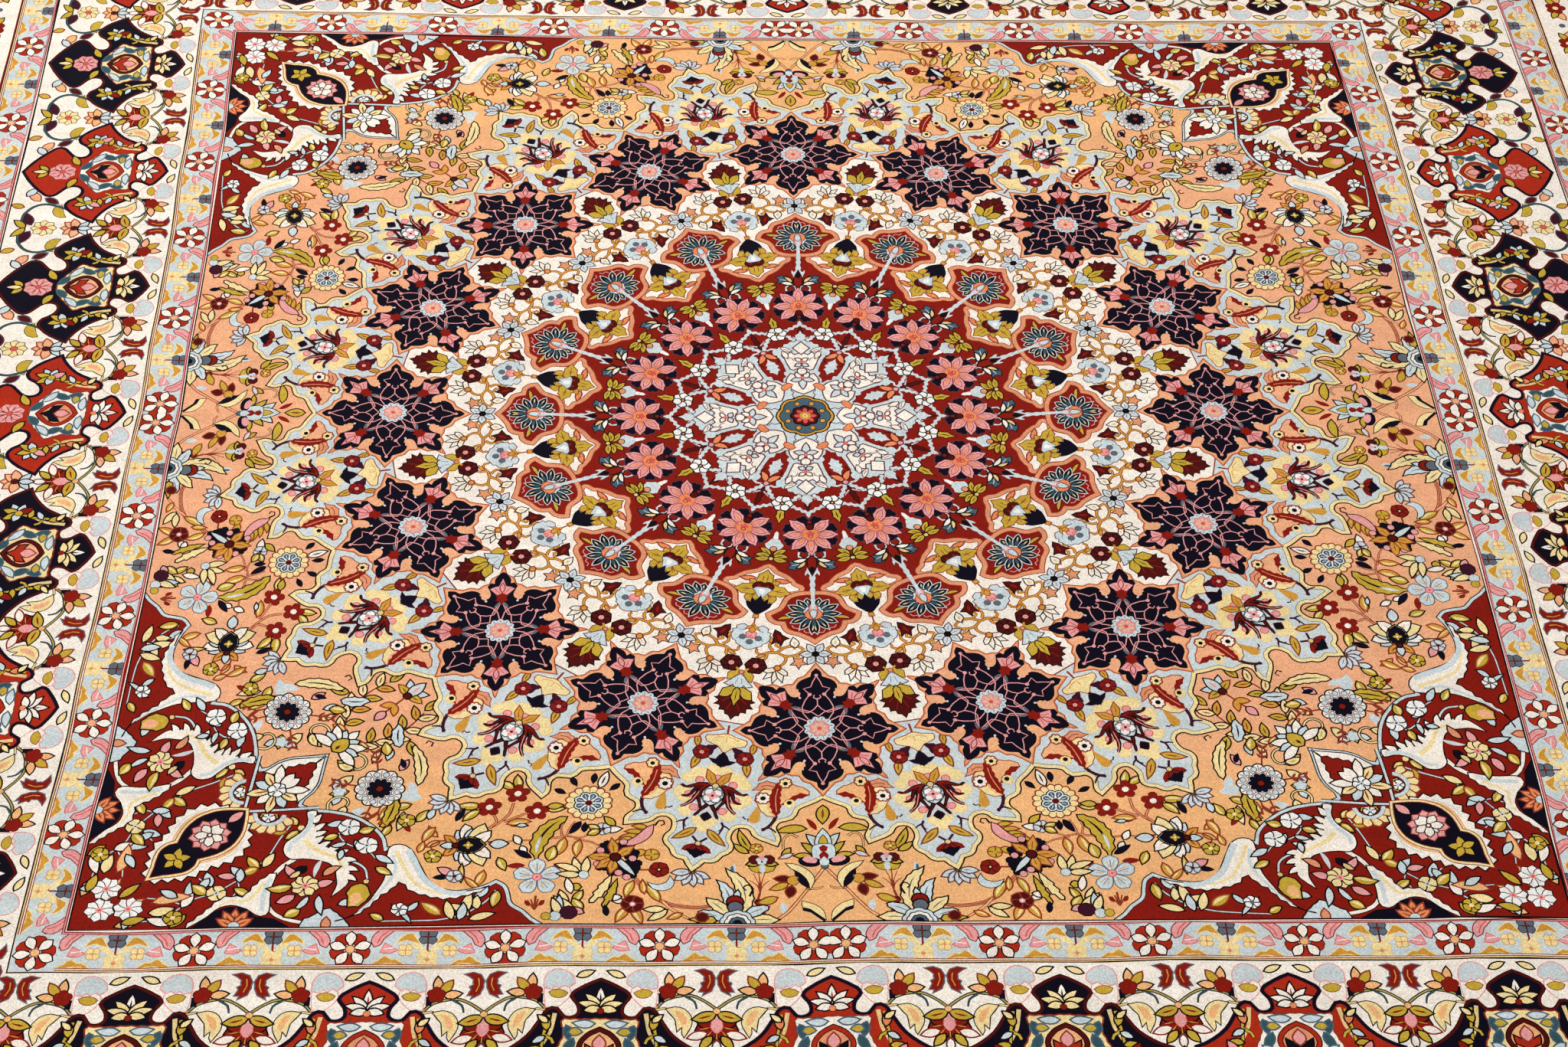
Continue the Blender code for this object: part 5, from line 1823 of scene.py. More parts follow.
# %% Between two cartouches
def between_cartouches():
    """What grows on the ivory between two cartouches (its middle on the axis)."""
    out = []
    # Green vines from cartouche to palmette.
    vine = [1.742+.122j, 1.722+.104j, 1.712+.076j, 1.712+.048j, 1.726+.022j, 1.744]
    out += both(fill(line(vine, .0085, .9), "black") + fill(line(vine, .0052, .9),
                                                            "teal") + fill(line(vine, .0022),
                                                                                           "mustard"))
    out += both(edged(line([1.714+.060j, 1.726+.044j, 1.742+.040j], .0040, .4), "teal", "black", .0012))
    vine = [1.744+.122j, 1.740+.104j, 1.744+.094j, 1.752+.090j]
    out += both(edged(line(vine, .0040, .8), "sand", "black", .0014))
    # Orange teardrop leaves.
    tear = smooth([1.742+.100j, 1.742+.100j, 1.738+.082j, 1.744+.064j, 1.760+.052j, 1.778+.050j,
                   1.794+.056j, 1.808+.064j, 1.808+.064j, 1.800+.068j, 1.784+.068j, 1.794+.078j,
                   1.794+.078j, 1.780+.080j, 1.766+.082j, 1.754+.092j])
    out += both(edged(tear, "cream", "black", .0022))
    out += both(fill(smooth([1.746+.084j, 1.750+.070j, 1.764+.060j, 1.782+.060j, 1.778+.070j, 1.762+.076j]),
                     "gold"))
    # The wings of a butterfly, with a saw edge.
    wing = smooth([1.652+.040j, 1.652+.040j, 1.650+.024j, 1.656+.010j, 1.668+.004j, 1.686+.006j,
                   1.700+.012j, 1.708+.026j, 1.708+.026j, 1.700+.022j, 1.702+.034j, 1.702+.034j,
                   1.690+.026j, 1.684+.030j, 1.676+.020j, 1.668+.024j, 1.662+.022j])
    out += both(edged(ragged(wing, .0014, .008), "red", "grey", .0026))
    out += both(fill(line([1.662+.014j, 1.678+.012j, 1.694+.018j], .0022), "ochre"))
    # Red palmette with a pink heart and mustard leaves.
    for facing in (0, 40, 78, 116):
        out += (both if facing else list)(leaf(.042, .0135, "red", "black", at=1.784, facing=facing, belly=.6,
                                               blunt=.6))
    for facing in (0, 40, 78):
        out += (both if facing else list)(fill(petal(.024, .0014, n=3, start=.012) * turn(facing) + 1.784,
                                               "ochre"))
    out += edged(halves([1.756, 1.758+.012j, 1.770+.010j, 1.786+.012j, 1.798+.004j, 1.800]), "pink", "rose",
                 .0014)
    out += both(leaf(.048, .0110, "mustard", "black", at=1.754+.002j, facing=64, bend=20, vein="red"))
    out += edged(disc(.0072, 1.748, 7), "gold", "black", .0014)
    out += both(leaf(.038, .0085, "ivory", "red", at=1.800+.020j, facing=74))
    out += both(leaf(.034, .0080, "mustard", "black", at=1.808+.010j, facing=40))
    out += leaf(.030, .0070, "ivory", "mauve", at=1.818)
    # Orange tulip and daisy towards the outside.
    for facing in (0, 38, 76):
        out += (both if facing else list)(leaf(.036, .0100, "gold", "brick", at=1.880, facing=facing))
    out += both(leaf(.034, .0075, "silver", "black", at=1.876, facing=140, bend=-20)) + leaf(.030, .0075,
                                                                                             "silver",
                                                                                             "black",
                                                                                    at=1.876, facing=180)
    out += edged(disc(.0085, 1.886, 7), "madder", "black", .0014)
    out += both(edged(bent(petal(.060, .0120, .5, .7, n=7), .060, 110) * turn(20) + (1.912+.044j),
                      "mustard", "black", .0018))
    out += placed(around(edged(petal(.030, .0100, .7, .5, n=4), "cream", "black", .0018), 8), 1.958)
    out += edged(disc(.0085, 1.958, 7), "rose", "brick", .0014)
    out += both(leaf(.046, .0110, "plum", "mauve", at=1.990+.014j, facing=62, bend=20))
    out += both(leaf(.040, .0085, "mustard", "black", at=2.004, facing=60, bend=-20))
    vine = [1.900+.070j, 1.930+.086j, 1.962+.096j, 1.990+.086j, 2.010+.058j, 2.014+.028j]
    out += both(fill(line(vine, .0080), "black") + fill(line(vine, .0048), "teal"))
    out += both(leaf(.044, .0110, "gold", "brick", at=1.980+.110j, facing=50, bend=20))
    out += both(leaf(.038, .0090, "silver", "black", at=2.012+.130j, facing=120, bend=20))
    out += both(leaf(.038, .0095, "madder", "grey", at=1.966+.120j, facing=-150, bend=10))
    out += both(leaf(.030, .0080, "mustard", "brick", at=2.016+.084j, facing=20))
    # Red flower with gold leaves, by the vine's foot.
    out += both(leaf(.036, .0085, "gold", "black", at=1.694+.092j, facing=176))
    out += both(leaf(.036, .0090, "mustard", "brick", at=1.696+.086j, facing=-145))
    out += both(leaf(.034, .0085, "gold", "black", at=1.702+.080j, facing=-98))
    out += both(fill(np.array([1.704+.104j, 1.726+.104j, 1.726+.116j, 1.704+.116j]), "navy"))
    out += both(edged(lobed(.0185, 5, .22) + (1.700+.096j), "red", "madder", .0016))
    # Pale-blue half-round leaf over a white petal with a mustard spot.
    dome = smooth([1.690+.118j, 1.690+.118j, 1.672+.118j, 1.656+.126j, 1.648+.142j, 1.652+.160j,
                   1.664+.174j, 1.680+.178j,
                   1.680+.178j, 1.690+.166j, 1.684+.158j, 1.692+.148j, 1.686+.140j, 1.694+.132j])
    petal_white = smooth([1.736+.122j, 1.736+.122j, 1.700+.118j, 1.688+.124j, 1.684+.140j, 1.688+.156j,
                          1.690+.166j, 1.690+.166j, 1.706+.170j, 1.722+.160j, 1.736+.144j])
    out += both(edged(petal_white, "ivory", "pink", .0024))
    out += both(edged(dome, "pale", "pink", .0026))
    out += both(edged(bent(petal(.036, .0095, .5, .6, n=6), .036, 30) * turn(72) + (1.702+.128j),
                      "mustard", "brick", .0018))
    out += both(leaf(.034, .0065, "cream", "black", at=1.664+.184j, facing=112))
    return out


def main_border():
    """The main border from the middle of a side to the corner."""
    out = strip(MAIN_BORDER, OUTER_GUARD, "ivory")
    step = .4606
    for k in range(-1, 4):
        out += moved(between_cartouches(), step * (k + .5))
    for k in range(5):
        if k % 2:
            out += moved(cartouche("navy", "madder", "black"), step * k)
        else:
            out += moved(cartouche("scarlet", "navy", "plum"), step * k)
    return out


print("between two cartouches:", len(between_cartouches()), "shapes")


# %% The outermost stripe
def outer_stripe():
    """The outermost stripe: ivory, with small red flowers and gold leaves."""
    out = strip(OUTER_STRIPE, EDGE_BAND, "ivory")
    c = 2.2075
    step = .1698
    for k in range(14):
        at = c + 1j * step * k
        out += leaf(.040, .0105, "gold", "brick", at=at + .020j, facing=66)
        out += leaf(.040, .0105, "gold", "brick", at=at - .020j, facing=-66)
        out += leaf(.036, .0085, "mustard", "black", at=at + .016j, facing=118)
        out += leaf(.036, .0085, "mustard", "black", at=at - .016j, facing=-118)
        out += placed(around(edged(disc(.0115, .0175, 7), "red", "madder", .0012), 5), at)
        out += edged(disc(.0085, at, 7), "cream", "brick", .0012)
        out += edged(disc(.0085, at + .5j * step, 7), "slate", "black", .0012)
    out += strip(OUTER_STRIPE, OUTER_STRIPE + .0030, "red")
    return out + strip(EDGE_BAND - .0090, EDGE_BAND, "madder")


def sides():
    """Everything outside the field, on one side of the rug."""
    out = guard(FIELD_HALF, GUARD_WIDTH, first=.033, spacing=.3109, count=5, corner=1.5915)
    out += main_border()
    out += guard(OUTER_GUARD, GUARD_WIDTH, first=.16135, spacing=.3227, count=6, corner=2.1015)
    out += outer_stripe()
    return out + strip(EDGE_BAND, PAST_EDGE, "ivory")


print("one side of the borders:", len(sides()), "shapes")

# %% [markdown]
# ## The whole chart
# The shapes go down in painter's order: grounds first, then what lies on them. Only one eighth of the square
# is kept, since mirrors give the rest.

# %% Put the chart together
def ring(shapes, first=0.0):
    """Sixteen copies round the medallion."""
    return around(shapes, 16, first)


def quarters(shapes):
    """Eight copies, about both axes and both diagonals of the square."""
    out = []
    for k in range(4):
        out += [(z * 1j**k, dye) for z, dye in shapes]
        out += [(np.conj(z) * 1j**k, dye) for z, dye in shapes]
    return out


PAST_CORNER = 2.4


def field():
    """The gold field, its flowers, and the red corner panels."""
    out = fill([0, PAST_CORNER, PAST_CORNER * (1 + 1j)], "gold")
    out += around(diagonal_twigs(), 4, 45)
    for part in (scatter_axis, comb_leaf, lily_stem, dark_lily, feather, red_trio, silver_flower,
                 border_sprays, cream_lotus, field_scatter, blue_rosette, daisy):
        out += quarters(part())
    out += around(small_lotus(), 4) + quarters(edge_palmette())
    out += ring(tip_burst(), 11.25) + around(corner_burst(), 4, 45)
    out += corner_panel() + quarters(panel_fill() + scrolls())
    out += around(diagonal_fill() + almond(), 4, 45)
    return out


IVORY_RING = 0.990
RED_ROUND = 0.620


def medallion():
    """The round medallion, from the pale-blue zone in to the rosette."""
    rim = blue_rim()
    out = edged(rim, "cream", "black") + fill(grow(rim, -.0085), "grey") + fill(grow(rim, -.0100), "pale")
    out += ring(blue_zone_star()) + ring(blue_zone_between(), 11.25)
    out += edged(disc(IVORY_RING, n=180), "ivory", "brick")
    out += edged(disc(RED_ROUND, n=144), "red", "black")
    out += ring(star_stem()) + ring(bud_spray(), 11.25) + ring(pink_flower()) + ring(vine_ring())
    out += around(pale_petal(), 8) + around(pale_gap(), 8, 22.5) + around(bean(), 8, 22.5)
    out += ring(between_inner(), 11.25) + rosette()
    out += ring(yellow_palmette(), 11.25) + ring(red_palmette())
    out += ring(fill(line([.56, .64], .0088), "silver"))
    out += ring(ivory_ring_star()) + ring(ivory_ring_between(), 11.25) + ring(navy_star())
    return out


# %% Draw it and thin its lines
LINE_SLACK = 0.0005
SAME_SPOT = 1e-6


def lean(z, slack):
    """The outline without the points that a straight line does as well."""
    for turn_about in range(3):
        if len(z) < 6:
            break
        chord = np.roll(z, -1) - np.roll(z, 1)
        off = np.abs((np.conj(chord) * (z - np.roll(z, 1))).imag) / np.maximum(np.abs(chord), 1e-9)
        drop = (off < slack) & (np.arange(len(z)) % 2 == turn_about % 2)
        drop[-1] &= not drop[0]
        z = z[~drop]
    return z


shapes = []
for outline, dye in field() + medallion() + sides():
    outline = outline[np.abs(outline - np.roll(outline, 1)) > SAME_SPOT]
    inside = outline.real.max() > 0 and outline.imag.max() > 0 and outline.real.min() < HALF_SQUARE
    if len(outline) > 2 and inside and (outline.imag - outline.real).min() < 0:
        shapes.append((lean(outline, LINE_SLACK), dye))
print(len(shapes), "shapes touch the eighth, with", sum(len(outline) for outline, _ in shapes), "points")

# %% [markdown]
# ## From shapes to triangles
# A constrained triangulation cuts the plane along every outline at once. Each triangle then belongs to the
# last shape painted over its middle. Lines that ended up hidden under other shapes are dropped, and the rest
# is cut once more, which halves the count.

# %% Triangulate
WEDGE = [0, HALF_SQUARE, HALF_SQUARE + HALF_SQUARE * 1j]


def triangulated(points, edges):
    """Triangles of the eighth, cut along all the edges."""
    first = len(points)
    corners = [Vector((point.real, point.imag)) for point in list(points) + WEDGE]
    edges = list(edges) + [(first, first + 1), (first + 1, first + 2), (first + 2, first)]
    result = delaunay_2d_cdt(corners, edges, [], 0, SAME_SPOT)
    spots = np.array([complex(corner.x, corner.y) for corner in result[0]])
    faces = np.array([tuple(face) for face in result[2]])
    middle = spots[faces].mean(axis=1)
    inside = (middle.imag > 0) & (middle.imag < middle.real) & (middle.real < HALF_SQUARE)
    return spots, faces[inside]


def topmost(middles):
    """For each point, the number of the last shape that covers it."""
    order = np.argsort(middles.imag)
    across, up = middles.real[order], middles.imag[order]
    top = np.zeros(len(middles), int)
    for number, (z, _) in enumerate(shapes):
        low, high = np.searchsorted(up, [z.imag.min(), z.imag.max()])
        near = low + np.where((across[low:high] > z.real.min()) & (across[low:high] < z.real.max()))[0]
        if not len(near):
            continue
        x, y = across[near], up[near]
        following = np.roll(z, -1)
        rise = following.imag - z.imag
        slope = (following.real - z.real) / np.where(rise == 0, 1, rise)
        starts = np.searchsorted(y, np.minimum(z.imag, following.imag), "right")
        ends = np.searchsorted(y, np.maximum(z.imag, following.imag), "right")
        winding = np.zeros(len(near), int)
        for k in np.where(ends > starts)[0]:
            part = slice(starts[k], ends[k])
            winding[part] += int(np.sign(rise[k])) * (x[part] < z[k].real + slope[k] * (y[part] - z[k].imag))
        area = np.sum(z.real * following.imag - z.imag * following.real)
        top[near[winding * np.sign(area) > 0]] = number
    out = np.empty(len(middles), int)
    out[order] = top
    return out


dye_names = sorted(DYES)
dye_of_shape = np.array([dye_names.index(dye) for _, dye in shapes])
points = []
edges = []
for outline, _ in shapes:
    first = len(points)
    points += list(outline)
    edges += [(first + k, first + (k + 1) % len(outline)) for k in range(len(outline))]
spots, faces = triangulated(points, edges)
dye_of_face = dye_of_shape[topmost(spots[faces].mean(axis=1))]
print(len(faces), "triangles in the first cut")

# %% Keep only the lines that part two colours
STRAIGHTENINGS = 4


def colour_lines(spots, faces, dye_of_face):
    """The edges between triangles of different dyes."""
    pairs = np.sort(np.concatenate([faces[:, [0, 1]], faces[:, [1, 2]], faces[:, [2, 0]]]), axis=1)
    dyes = np.tile(dye_of_face, 3)
    key = pairs[:, 0].astype(np.int64) * len(spots) + pairs[:, 1]
    order = np.argsort(key, kind="stable")
    key, pairs, dyes = key[order], pairs[order], dyes[order]
    twin = np.where((key[1:] == key[:-1]) & (dyes[1:] != dyes[:-1]))[0]
    return pairs[twin]


def straightened(spots, lines, slack):
    """The lines, with nearly straight two-way points taken out."""
    for _ in range(STRAIGHTENINGS):
        count = np.bincount(lines.ravel(), minlength=len(spots))
        ends = np.concatenate([lines, lines[:, ::-1]])
        ends = ends[np.argsort(ends[:, 0], kind="stable")]
        start = np.searchsorted(ends[:, 0], np.arange(len(spots)))
        twos = np.where(count == 2)[0]
        before, after = ends[start[twos], 1], ends[start[twos] + 1, 1]
        chord = spots[after] - spots[before]
        off = np.abs((np.conj(chord) * (spots[twos] - spots[before])).imag) / np.maximum(np.abs(chord), 1e-9)
        gone = set()
        links = []
        for spot, a, b in zip(twos[off < slack], before[off < slack], after[off < slack]):
            if a in gone or b in gone or a == b:
                continue
            gone.add(spot)
            gone.add(a)
            gone.add(b)
            links.append((spot, a, b))
        dropped = {spot for spot, _, _ in links}
        kept = [tuple(line) for line in lines if line[0] not in dropped and line[1] not in dropped]
        lines = np.array(kept + [(a, b) for _, a, b in links])
    return lines


lines = straightened(spots, colour_lines(spots, faces, dye_of_face), LINE_SLACK)
used, lines = np.unique(lines, return_inverse=True)
spots, faces = triangulated(list(spots[used]), [(int(a), int(b)) for a, b in lines.reshape(-1, 2)])
dye_of_face = dye_of_shape[topmost(spots[faces].mean(axis=1))]
print(len(faces), "triangles in one eighth")

# %% [markdown]
# ## From the chart to the cloth
# No loom weaves quite true. This rug is a little wider than it is long, its centre was woven a few knots low,
# and its long lines wander by a knot or two. One function carries any point of the chart to its place on the
# floor, so the whole design strays together, as it does on a real rug.

# %% The weaver's hand
FIELD_STARTS = 1.15
BORDER_ENDS = 1.85
LOW_CENTRE = (-0.0014, -0.0156)
LOW_REACH = 0.85
LOW_FADE = 0.50
SWAY_FADE = 0.3
# How far each edge of the field lies off the chart: at its middle, then per share and per squared share.
RIGHT_PULL, LEFT_PULL = (.005, -.010), (-.035, .035)
NEAR_PULL, FAR_PULL = (-.032, .004), (-.030, -.020, .015)
# Slow waves in the weave: height, waves for each radius, and where the first one starts.
SWAY_X = ((.0020, 11.3, 1.1), (.0013, 17.9, 2.7))
SWAY_Y = ((.0020, 10.1, .4), (.0015, 19.3, 1.9))


def wander(along, phase):
    """How far a woven edge strays from straight, at a place along it."""
    return EDGE_WANDER * np.sin(2 * np.pi * along / WANDER_LENGTH + phase)


def swell(x, y):
    """The slight rise and fall of the pile where the rug lies."""
    return SWELL * np.sin(2 * np.pi * x / SWELL_ACROSS) * np.cos(2 * np.pi * y / SWELL_ALONG)


def carried(a, stray, half, along, phase):
    """A chart coordinate in metres: stray pulls the field's edge, the border goes on to the rug's edge."""
    reach = np.abs(a)
    pulled = reach + stray * np.clip((reach - FIELD_STARTS) / (FIELD_HALF - FIELD_STARTS), 0, 1)
    edge = (half - TOP_INSET + wander(along, phase)) / STAR_RING
    share = np.clip((reach - BORDER_ENDS) / (HALF_SQUARE - BORDER_ENDS), 0, 1)
    last = BORDER_ENDS + stray
    return np.sign(a) * np.where(share > 0, last + share * (edge - last), pulled) * STAR_RING


def woven(z):
    """Where a point of the chart lies on the rug, as x and y in metres."""
    x, y = z.real, z.imag
    s, t = x / FIELD_HALF, y / FIELD_HALF
    hand = np.clip((HALF_SQUARE - np.maximum(np.abs(x), np.abs(y))) / SWAY_FADE, 0, 1)
    pull_x = np.where(x > 0, RIGHT_PULL[0] + RIGHT_PULL[1] * t * t, LEFT_PULL[0] + LEFT_PULL[1] * t * t)
    pull_y = np.where(y < 0, NEAR_PULL[0] + NEAR_PULL[1] * s * s,
                      FAR_PULL[0] + FAR_PULL[1] * s + FAR_PULL[2] * s * s)
    sway_x, sway_y = [
        hand * (slow[0] * np.sin(slow[1] * a + slow[2]) + quick[0] * np.sin(quick[1] * a + quick[2] + b))
        for (slow, quick), a, b in ((SWAY_X, y, x), (SWAY_Y, x, y))]
    low = np.clip((LOW_REACH - np.abs(z)) / LOW_FADE, 0, 1)
    low = low * low * (3 - 2 * low)
    metres_x = carried(x, pull_x, HALF_WIDTH, t * FIELD_HALF * STAR_RING, np.sign(x))
    metres_y = carried(y, pull_y, HALF_LENGTH, s * FIELD_HALF * STAR_RING, 1 + np.sign(y))
    metres_x = metres_x + (sway_x + low * LOW_CENTRE[0]) * STAR_RING
    metres_y = metres_y + (sway_y + low * LOW_CENTRE[1]) * STAR_RING
    return metres_x, metres_y


# %% Mirror the eighth into the whole square
WELD_STEPS = 50000
WELD_ROW = 4000000
whole = np.concatenate([spots * 1j**k for k in range(4)] + [np.conj(spots) * 1j**k for k in range(4)])
triangles = np.concatenate([faces + k * len(spots) for k in range(8)])
dyes = np.tile(dye_of_face, 8)
grid = np.round(np.stack([whole.real, whole.imag], 1) * WELD_STEPS).astype(np.int64)
_, first, welded = np.unique(grid[:, 0] * WELD_ROW + grid[:, 1], return_index=True, return_inverse=True)
whole = whole[first]
triangles = welded.reshape(-1)[triangles]
x, y = woven(whole)
ground = np.stack([x, y, THICKNESS + swell(x, y)], 1)
side_a = ground[triangles[:, 1]] - ground[triangles[:, 0]]
side_b = ground[triangles[:, 2]] - ground[triangles[:, 0]]
turned = side_a[:, 0] * side_b[:, 1] - side_a[:, 1] * side_b[:, 0]
triangles[turned < 0] = triangles[turned < 0][:, ::-1]
print(len(triangles), "triangles in the whole pile,", len(whole), "points")

# %% [markdown]
# ## The foundation and its edge
# Under the pile is the foundation of warps and wefts. It is a thin slab with a soft, rounded edge, and it is
# closed underneath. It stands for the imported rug, so it has the same outline.

# %% Foundation
EDGE_RINGS = ((0.0012, 0.0000), (0.0000, 0.0014), (0.0002, 0.0032), (0.0016, 0.0042))
CELLS = 28
PILE_DEPTH = 0.0007


def place(u, v, inset):
    """A point of the rug's plan, from shares of its half width and half length."""
    px = u * (HALF_WIDTH - inset + float(wander(v * HALF_LENGTH, u)))
    py = v * (HALF_LENGTH - inset + float(wander(u * HALF_WIDTH, 1.0 + v)))
    return px, py


def rim_shares(count):
    """Places round the rim, anticlockwise, as shares of the half width and half length."""
    steps = [-1 + 2 * k / count for k in range(count)]
    near, right = [(s, -1.0) for s in steps], [(1.0, s) for s in steps]
    return near + right + [(-s, 1.0) for s in steps] + [(-1.0, -s) for s in steps]


def foundation_mesh():
    """The closed slab under the pile."""
    mesh = bmesh.new()
    rings = []
    for inset, height in EDGE_RINGS:
        rings.append([mesh.verts.new((*place(u, v, inset), height)) for u, v in rim_shares(CELLS)])
    top = {}
    for i in range(CELLS + 1):
        for j in range(CELLS + 1):
            px, py = place(-1 + 2 * i / CELLS, -1 + 2 * j / CELLS, TOP_INSET)
            top[i, j] = mesh.verts.new((px, py, THICKNESS - PILE_DEPTH + float(swell(px, py))))
    last = [top[k, 0] for k in range(CELLS)] + [top[CELLS, k] for k in range(CELLS)]
    last += [top[CELLS - k, CELLS] for k in range(CELLS)] + [top[0, CELLS - k] for k in range(CELLS)]
    rings.append(last)
    for lower, upper in zip(rings, rings[1:]):
        for k in range(len(lower)):
            following = (k + 1) % len(lower)
            mesh.faces.new((lower[k], lower[following], upper[following], upper[k]))
    for i in range(CELLS):
        for j in range(CELLS):
            mesh.faces.new((top[i, j], top[i + 1, j], top[i + 1, j + 1], top[i, j + 1]))
    mesh.faces.new(list(reversed(rings[0])))
    bmesh.ops.triangulate(mesh, faces=mesh.faces[:])
    bmesh.ops.recalc_face_normals(mesh, faces=mesh.faces[:])
    data = bpy.data.meshes.new("foundation")
    mesh.to_mesh(data)
    mesh.free()
    return data


foundation = bpy.data.objects.new("foundation", foundation_mesh())
bpy.context.scene.collection.objects.link(foundation)
print("foundation:", len(foundation.data.polygons), "faces")

# %% [markdown]
# ## Knotted silk
# The pile is cut silk. Every knot is a tiny tuft of its own, so the cloth glitters in grains of one knot, and
# that glitter is painted into the colour of each knot along with its uneven dye. A skein is never dyed quite
# evenly, and a new skein makes a faint band across the rug, which weavers call abrash. Patches where the pile
# leans another way are painted lighter and darker, as painted sheen. Silk also has a strong sheen where light
# grazes the pile. The material takes the dye from the mesh and adds these things.

# %% A node with its settings and links
def add(tree, kind, inputs=None, **settings):
    """One node: settings are its properties, and inputs are values or sockets to link from."""
    node = tree.nodes.new(kind)
    for name, value in settings.items():
        setattr(node, name, value)
    for name, value in (inputs or {}).items():
        if isinstance(value, bpy.types.NodeSocket):
            tree.links.new(value, node.inputs[name])
        else:
            node.inputs[name].default_value = value
    return node


def bare_material(name):
    """A material without nodes but for its Object coordinates."""
    material = bpy.data.materials.new(name)
    material.use_nodes = True
    tree = material.node_tree
    tree.nodes.clear()
    return material, tree, add(tree, "ShaderNodeTexCoord").outputs["Object"]


# %% Silk of the pile
# Counts for each metre: abrash bands are about 24 mm deep, patches of nap with their painted sheen 30 mm wide,
# and clumps of tufts 2.4 mm, which is coarser than the knots, so that they show.
ABRASH_COUNT = (1.2, 42.0, 0)
NAP_AND_SHEEN_COUNT = 34.0
CLUMP_COUNT = 420.0
MIDDLE_OF_NOISE = {"From Min": 0.3, "From Max": 0.7}


def knotted_silk(name, colour=None):
    """Cut silk pile: a grain of single knots that is partly uneven dye and partly painted glint, abrash bands,
    patches of painted sheen, and a soft sheen.
    """
    material, tree, where = bare_material(name)
    if colour is None:
        dye = add(tree, "ShaderNodeAttribute", attribute_name="dye").outputs["Color"]
    else:
        dye = add(tree, "ShaderNodeRGB").outputs["Color"]
        dye.default_value = (*linear(colour), 1)
    # One square cell for each knot, with a grey value of its own: partly the knot's uneven dye, partly the
    # painted glint of its tuft.
    counted = add(tree, "ShaderNodeVectorMath", {0: where, 1: (1 / KNOT_PITCH, 1 / KNOT_PITCH, 0)},
                  operation="MULTIPLY")
    cell = add(tree, "ShaderNodeVectorMath", {0: counted.outputs["Vector"]}, operation="FLOOR")
    knot_tone_and_glint = add(tree, "ShaderNodeTexWhiteNoise", {"Vector": cell.outputs["Vector"]}, noise_dimensions="2D")
    # Abrash: bands along the rows, a few centimetres deep, with soft edges.
    rows = add(tree, "ShaderNodeVectorMath", {0: where, 1: ABRASH_COUNT}, operation="MULTIPLY")
    bands = add(tree, "ShaderNodeTexNoise", {"Vector": rows.outputs["Vector"], "Scale": 1.0, "Detail": 3.0,
                                             "Roughness": 0.6})
    # Nap: soft patches, a few centimetres wide, where the pile leans another way. They set the roughness, and
    # they make the dye lighter and darker as painted sheen.
    nap_and_sheen = add(tree, "ShaderNodeTexNoise", {"Vector": where, "Scale": NAP_AND_SHEEN_COUNT, "Detail": 4.0,
                                           "Roughness": 0.6})
    tuft = add(tree, "ShaderNodeTexNoise", {"Vector": where, "Scale": CLUMP_COUNT, "Detail": 2.0,
                                            "Roughness": 0.6})
    # The grey value of each knot scales its dye: uneven dye and painted glint together.
    shade = add(tree, "ShaderNodeMapRange", {"Value": knot_tone_and_glint.outputs["Value"], "To Min": 0.80, "To Max": 1.16})
    product = shade.outputs["Result"]
    # Abrash bands and clumps of tufts are the dye's own; the patches of nap make the dye lighter and darker as
    # painted sheen.
    for pattern, low, high in ((bands, 0.93, 1.06), (nap_and_sheen, 0.93, 1.06), (tuft, 0.94, 1.05)):
        factor = add(tree, "ShaderNodeMapRange", {"Value": pattern.outputs["Fac"], "To Min": low,
                                                  "To Max": high, **MIDDLE_OF_NOISE})
        product = add(tree, "ShaderNodeMath", {0: product, 1: factor.outputs["Result"]},
                      operation="MULTIPLY").outputs["Value"]
    coloured = add(tree, "ShaderNodeVectorMath", {0: dye, "Scale": product}, operation="SCALE")
    # Each tuft is a small dome in the bump: two sines at the knot pitch, multiplied.
    split = add(tree, "ShaderNodeSeparateXYZ", {"Vector": counted.outputs["Vector"]})
    domes = []
    for axis in ("X", "Y"):
        angle = add(tree, "ShaderNodeMath", {0: split.outputs[axis], 1: math.pi}, operation="MULTIPLY")
        domes.append(add(tree, "ShaderNodeMath", {0: angle.outputs["Value"]}, operation="SINE"))
    dome = add(tree, "ShaderNodeMath", {0: domes[0].outputs["Value"], 1: domes[1].outputs["Value"]},
               operation="MULTIPLY")
    dome = add(tree, "ShaderNodeMath", {0: dome.outputs["Value"]}, operation="ABSOLUTE")
    rough_top = add(tree, "ShaderNodeMath", {0: knot_tone_and_glint.outputs["Value"], 1: dome.outputs["Value"]},
                    operation="ADD")
    bump = add(tree, "ShaderNodeBump", {"Height": rough_top.outputs["Value"], "Strength": 0.55,
                                        "Distance": 0.00035})
    roughness = add(tree, "ShaderNodeMapRange", {"Value": nap_and_sheen.outputs["Fac"], "To Min": 0.50,
                                                 "To Max": 0.66, **MIDDLE_OF_NOISE})
    shader = add(tree, "ShaderNodeBsdfPrincipled", {
        "Base Color": coloured.outputs["Vector"], "Roughness": roughness.outputs["Result"],
        "Normal": bump.outputs["Normal"], "Specular IOR Level": 0.03, "Sheen Weight": 0.012,
        "Sheen Roughness": 0.35, "Sheen Tint": (1.0, 0.95, 0.88, 1.0),
    })
    add(tree, "ShaderNodeOutputMaterial", {"Surface": shader.outputs["BSDF"]})
    return material


pile_silk = knotted_silk("knotted_silk_pile")
warp_silk = knotted_silk("plain_woven_silk", "#e4d8bd")
foundation.data.materials.append(warp_silk)
print("materials:", pile_silk.name, warp_silk.name)

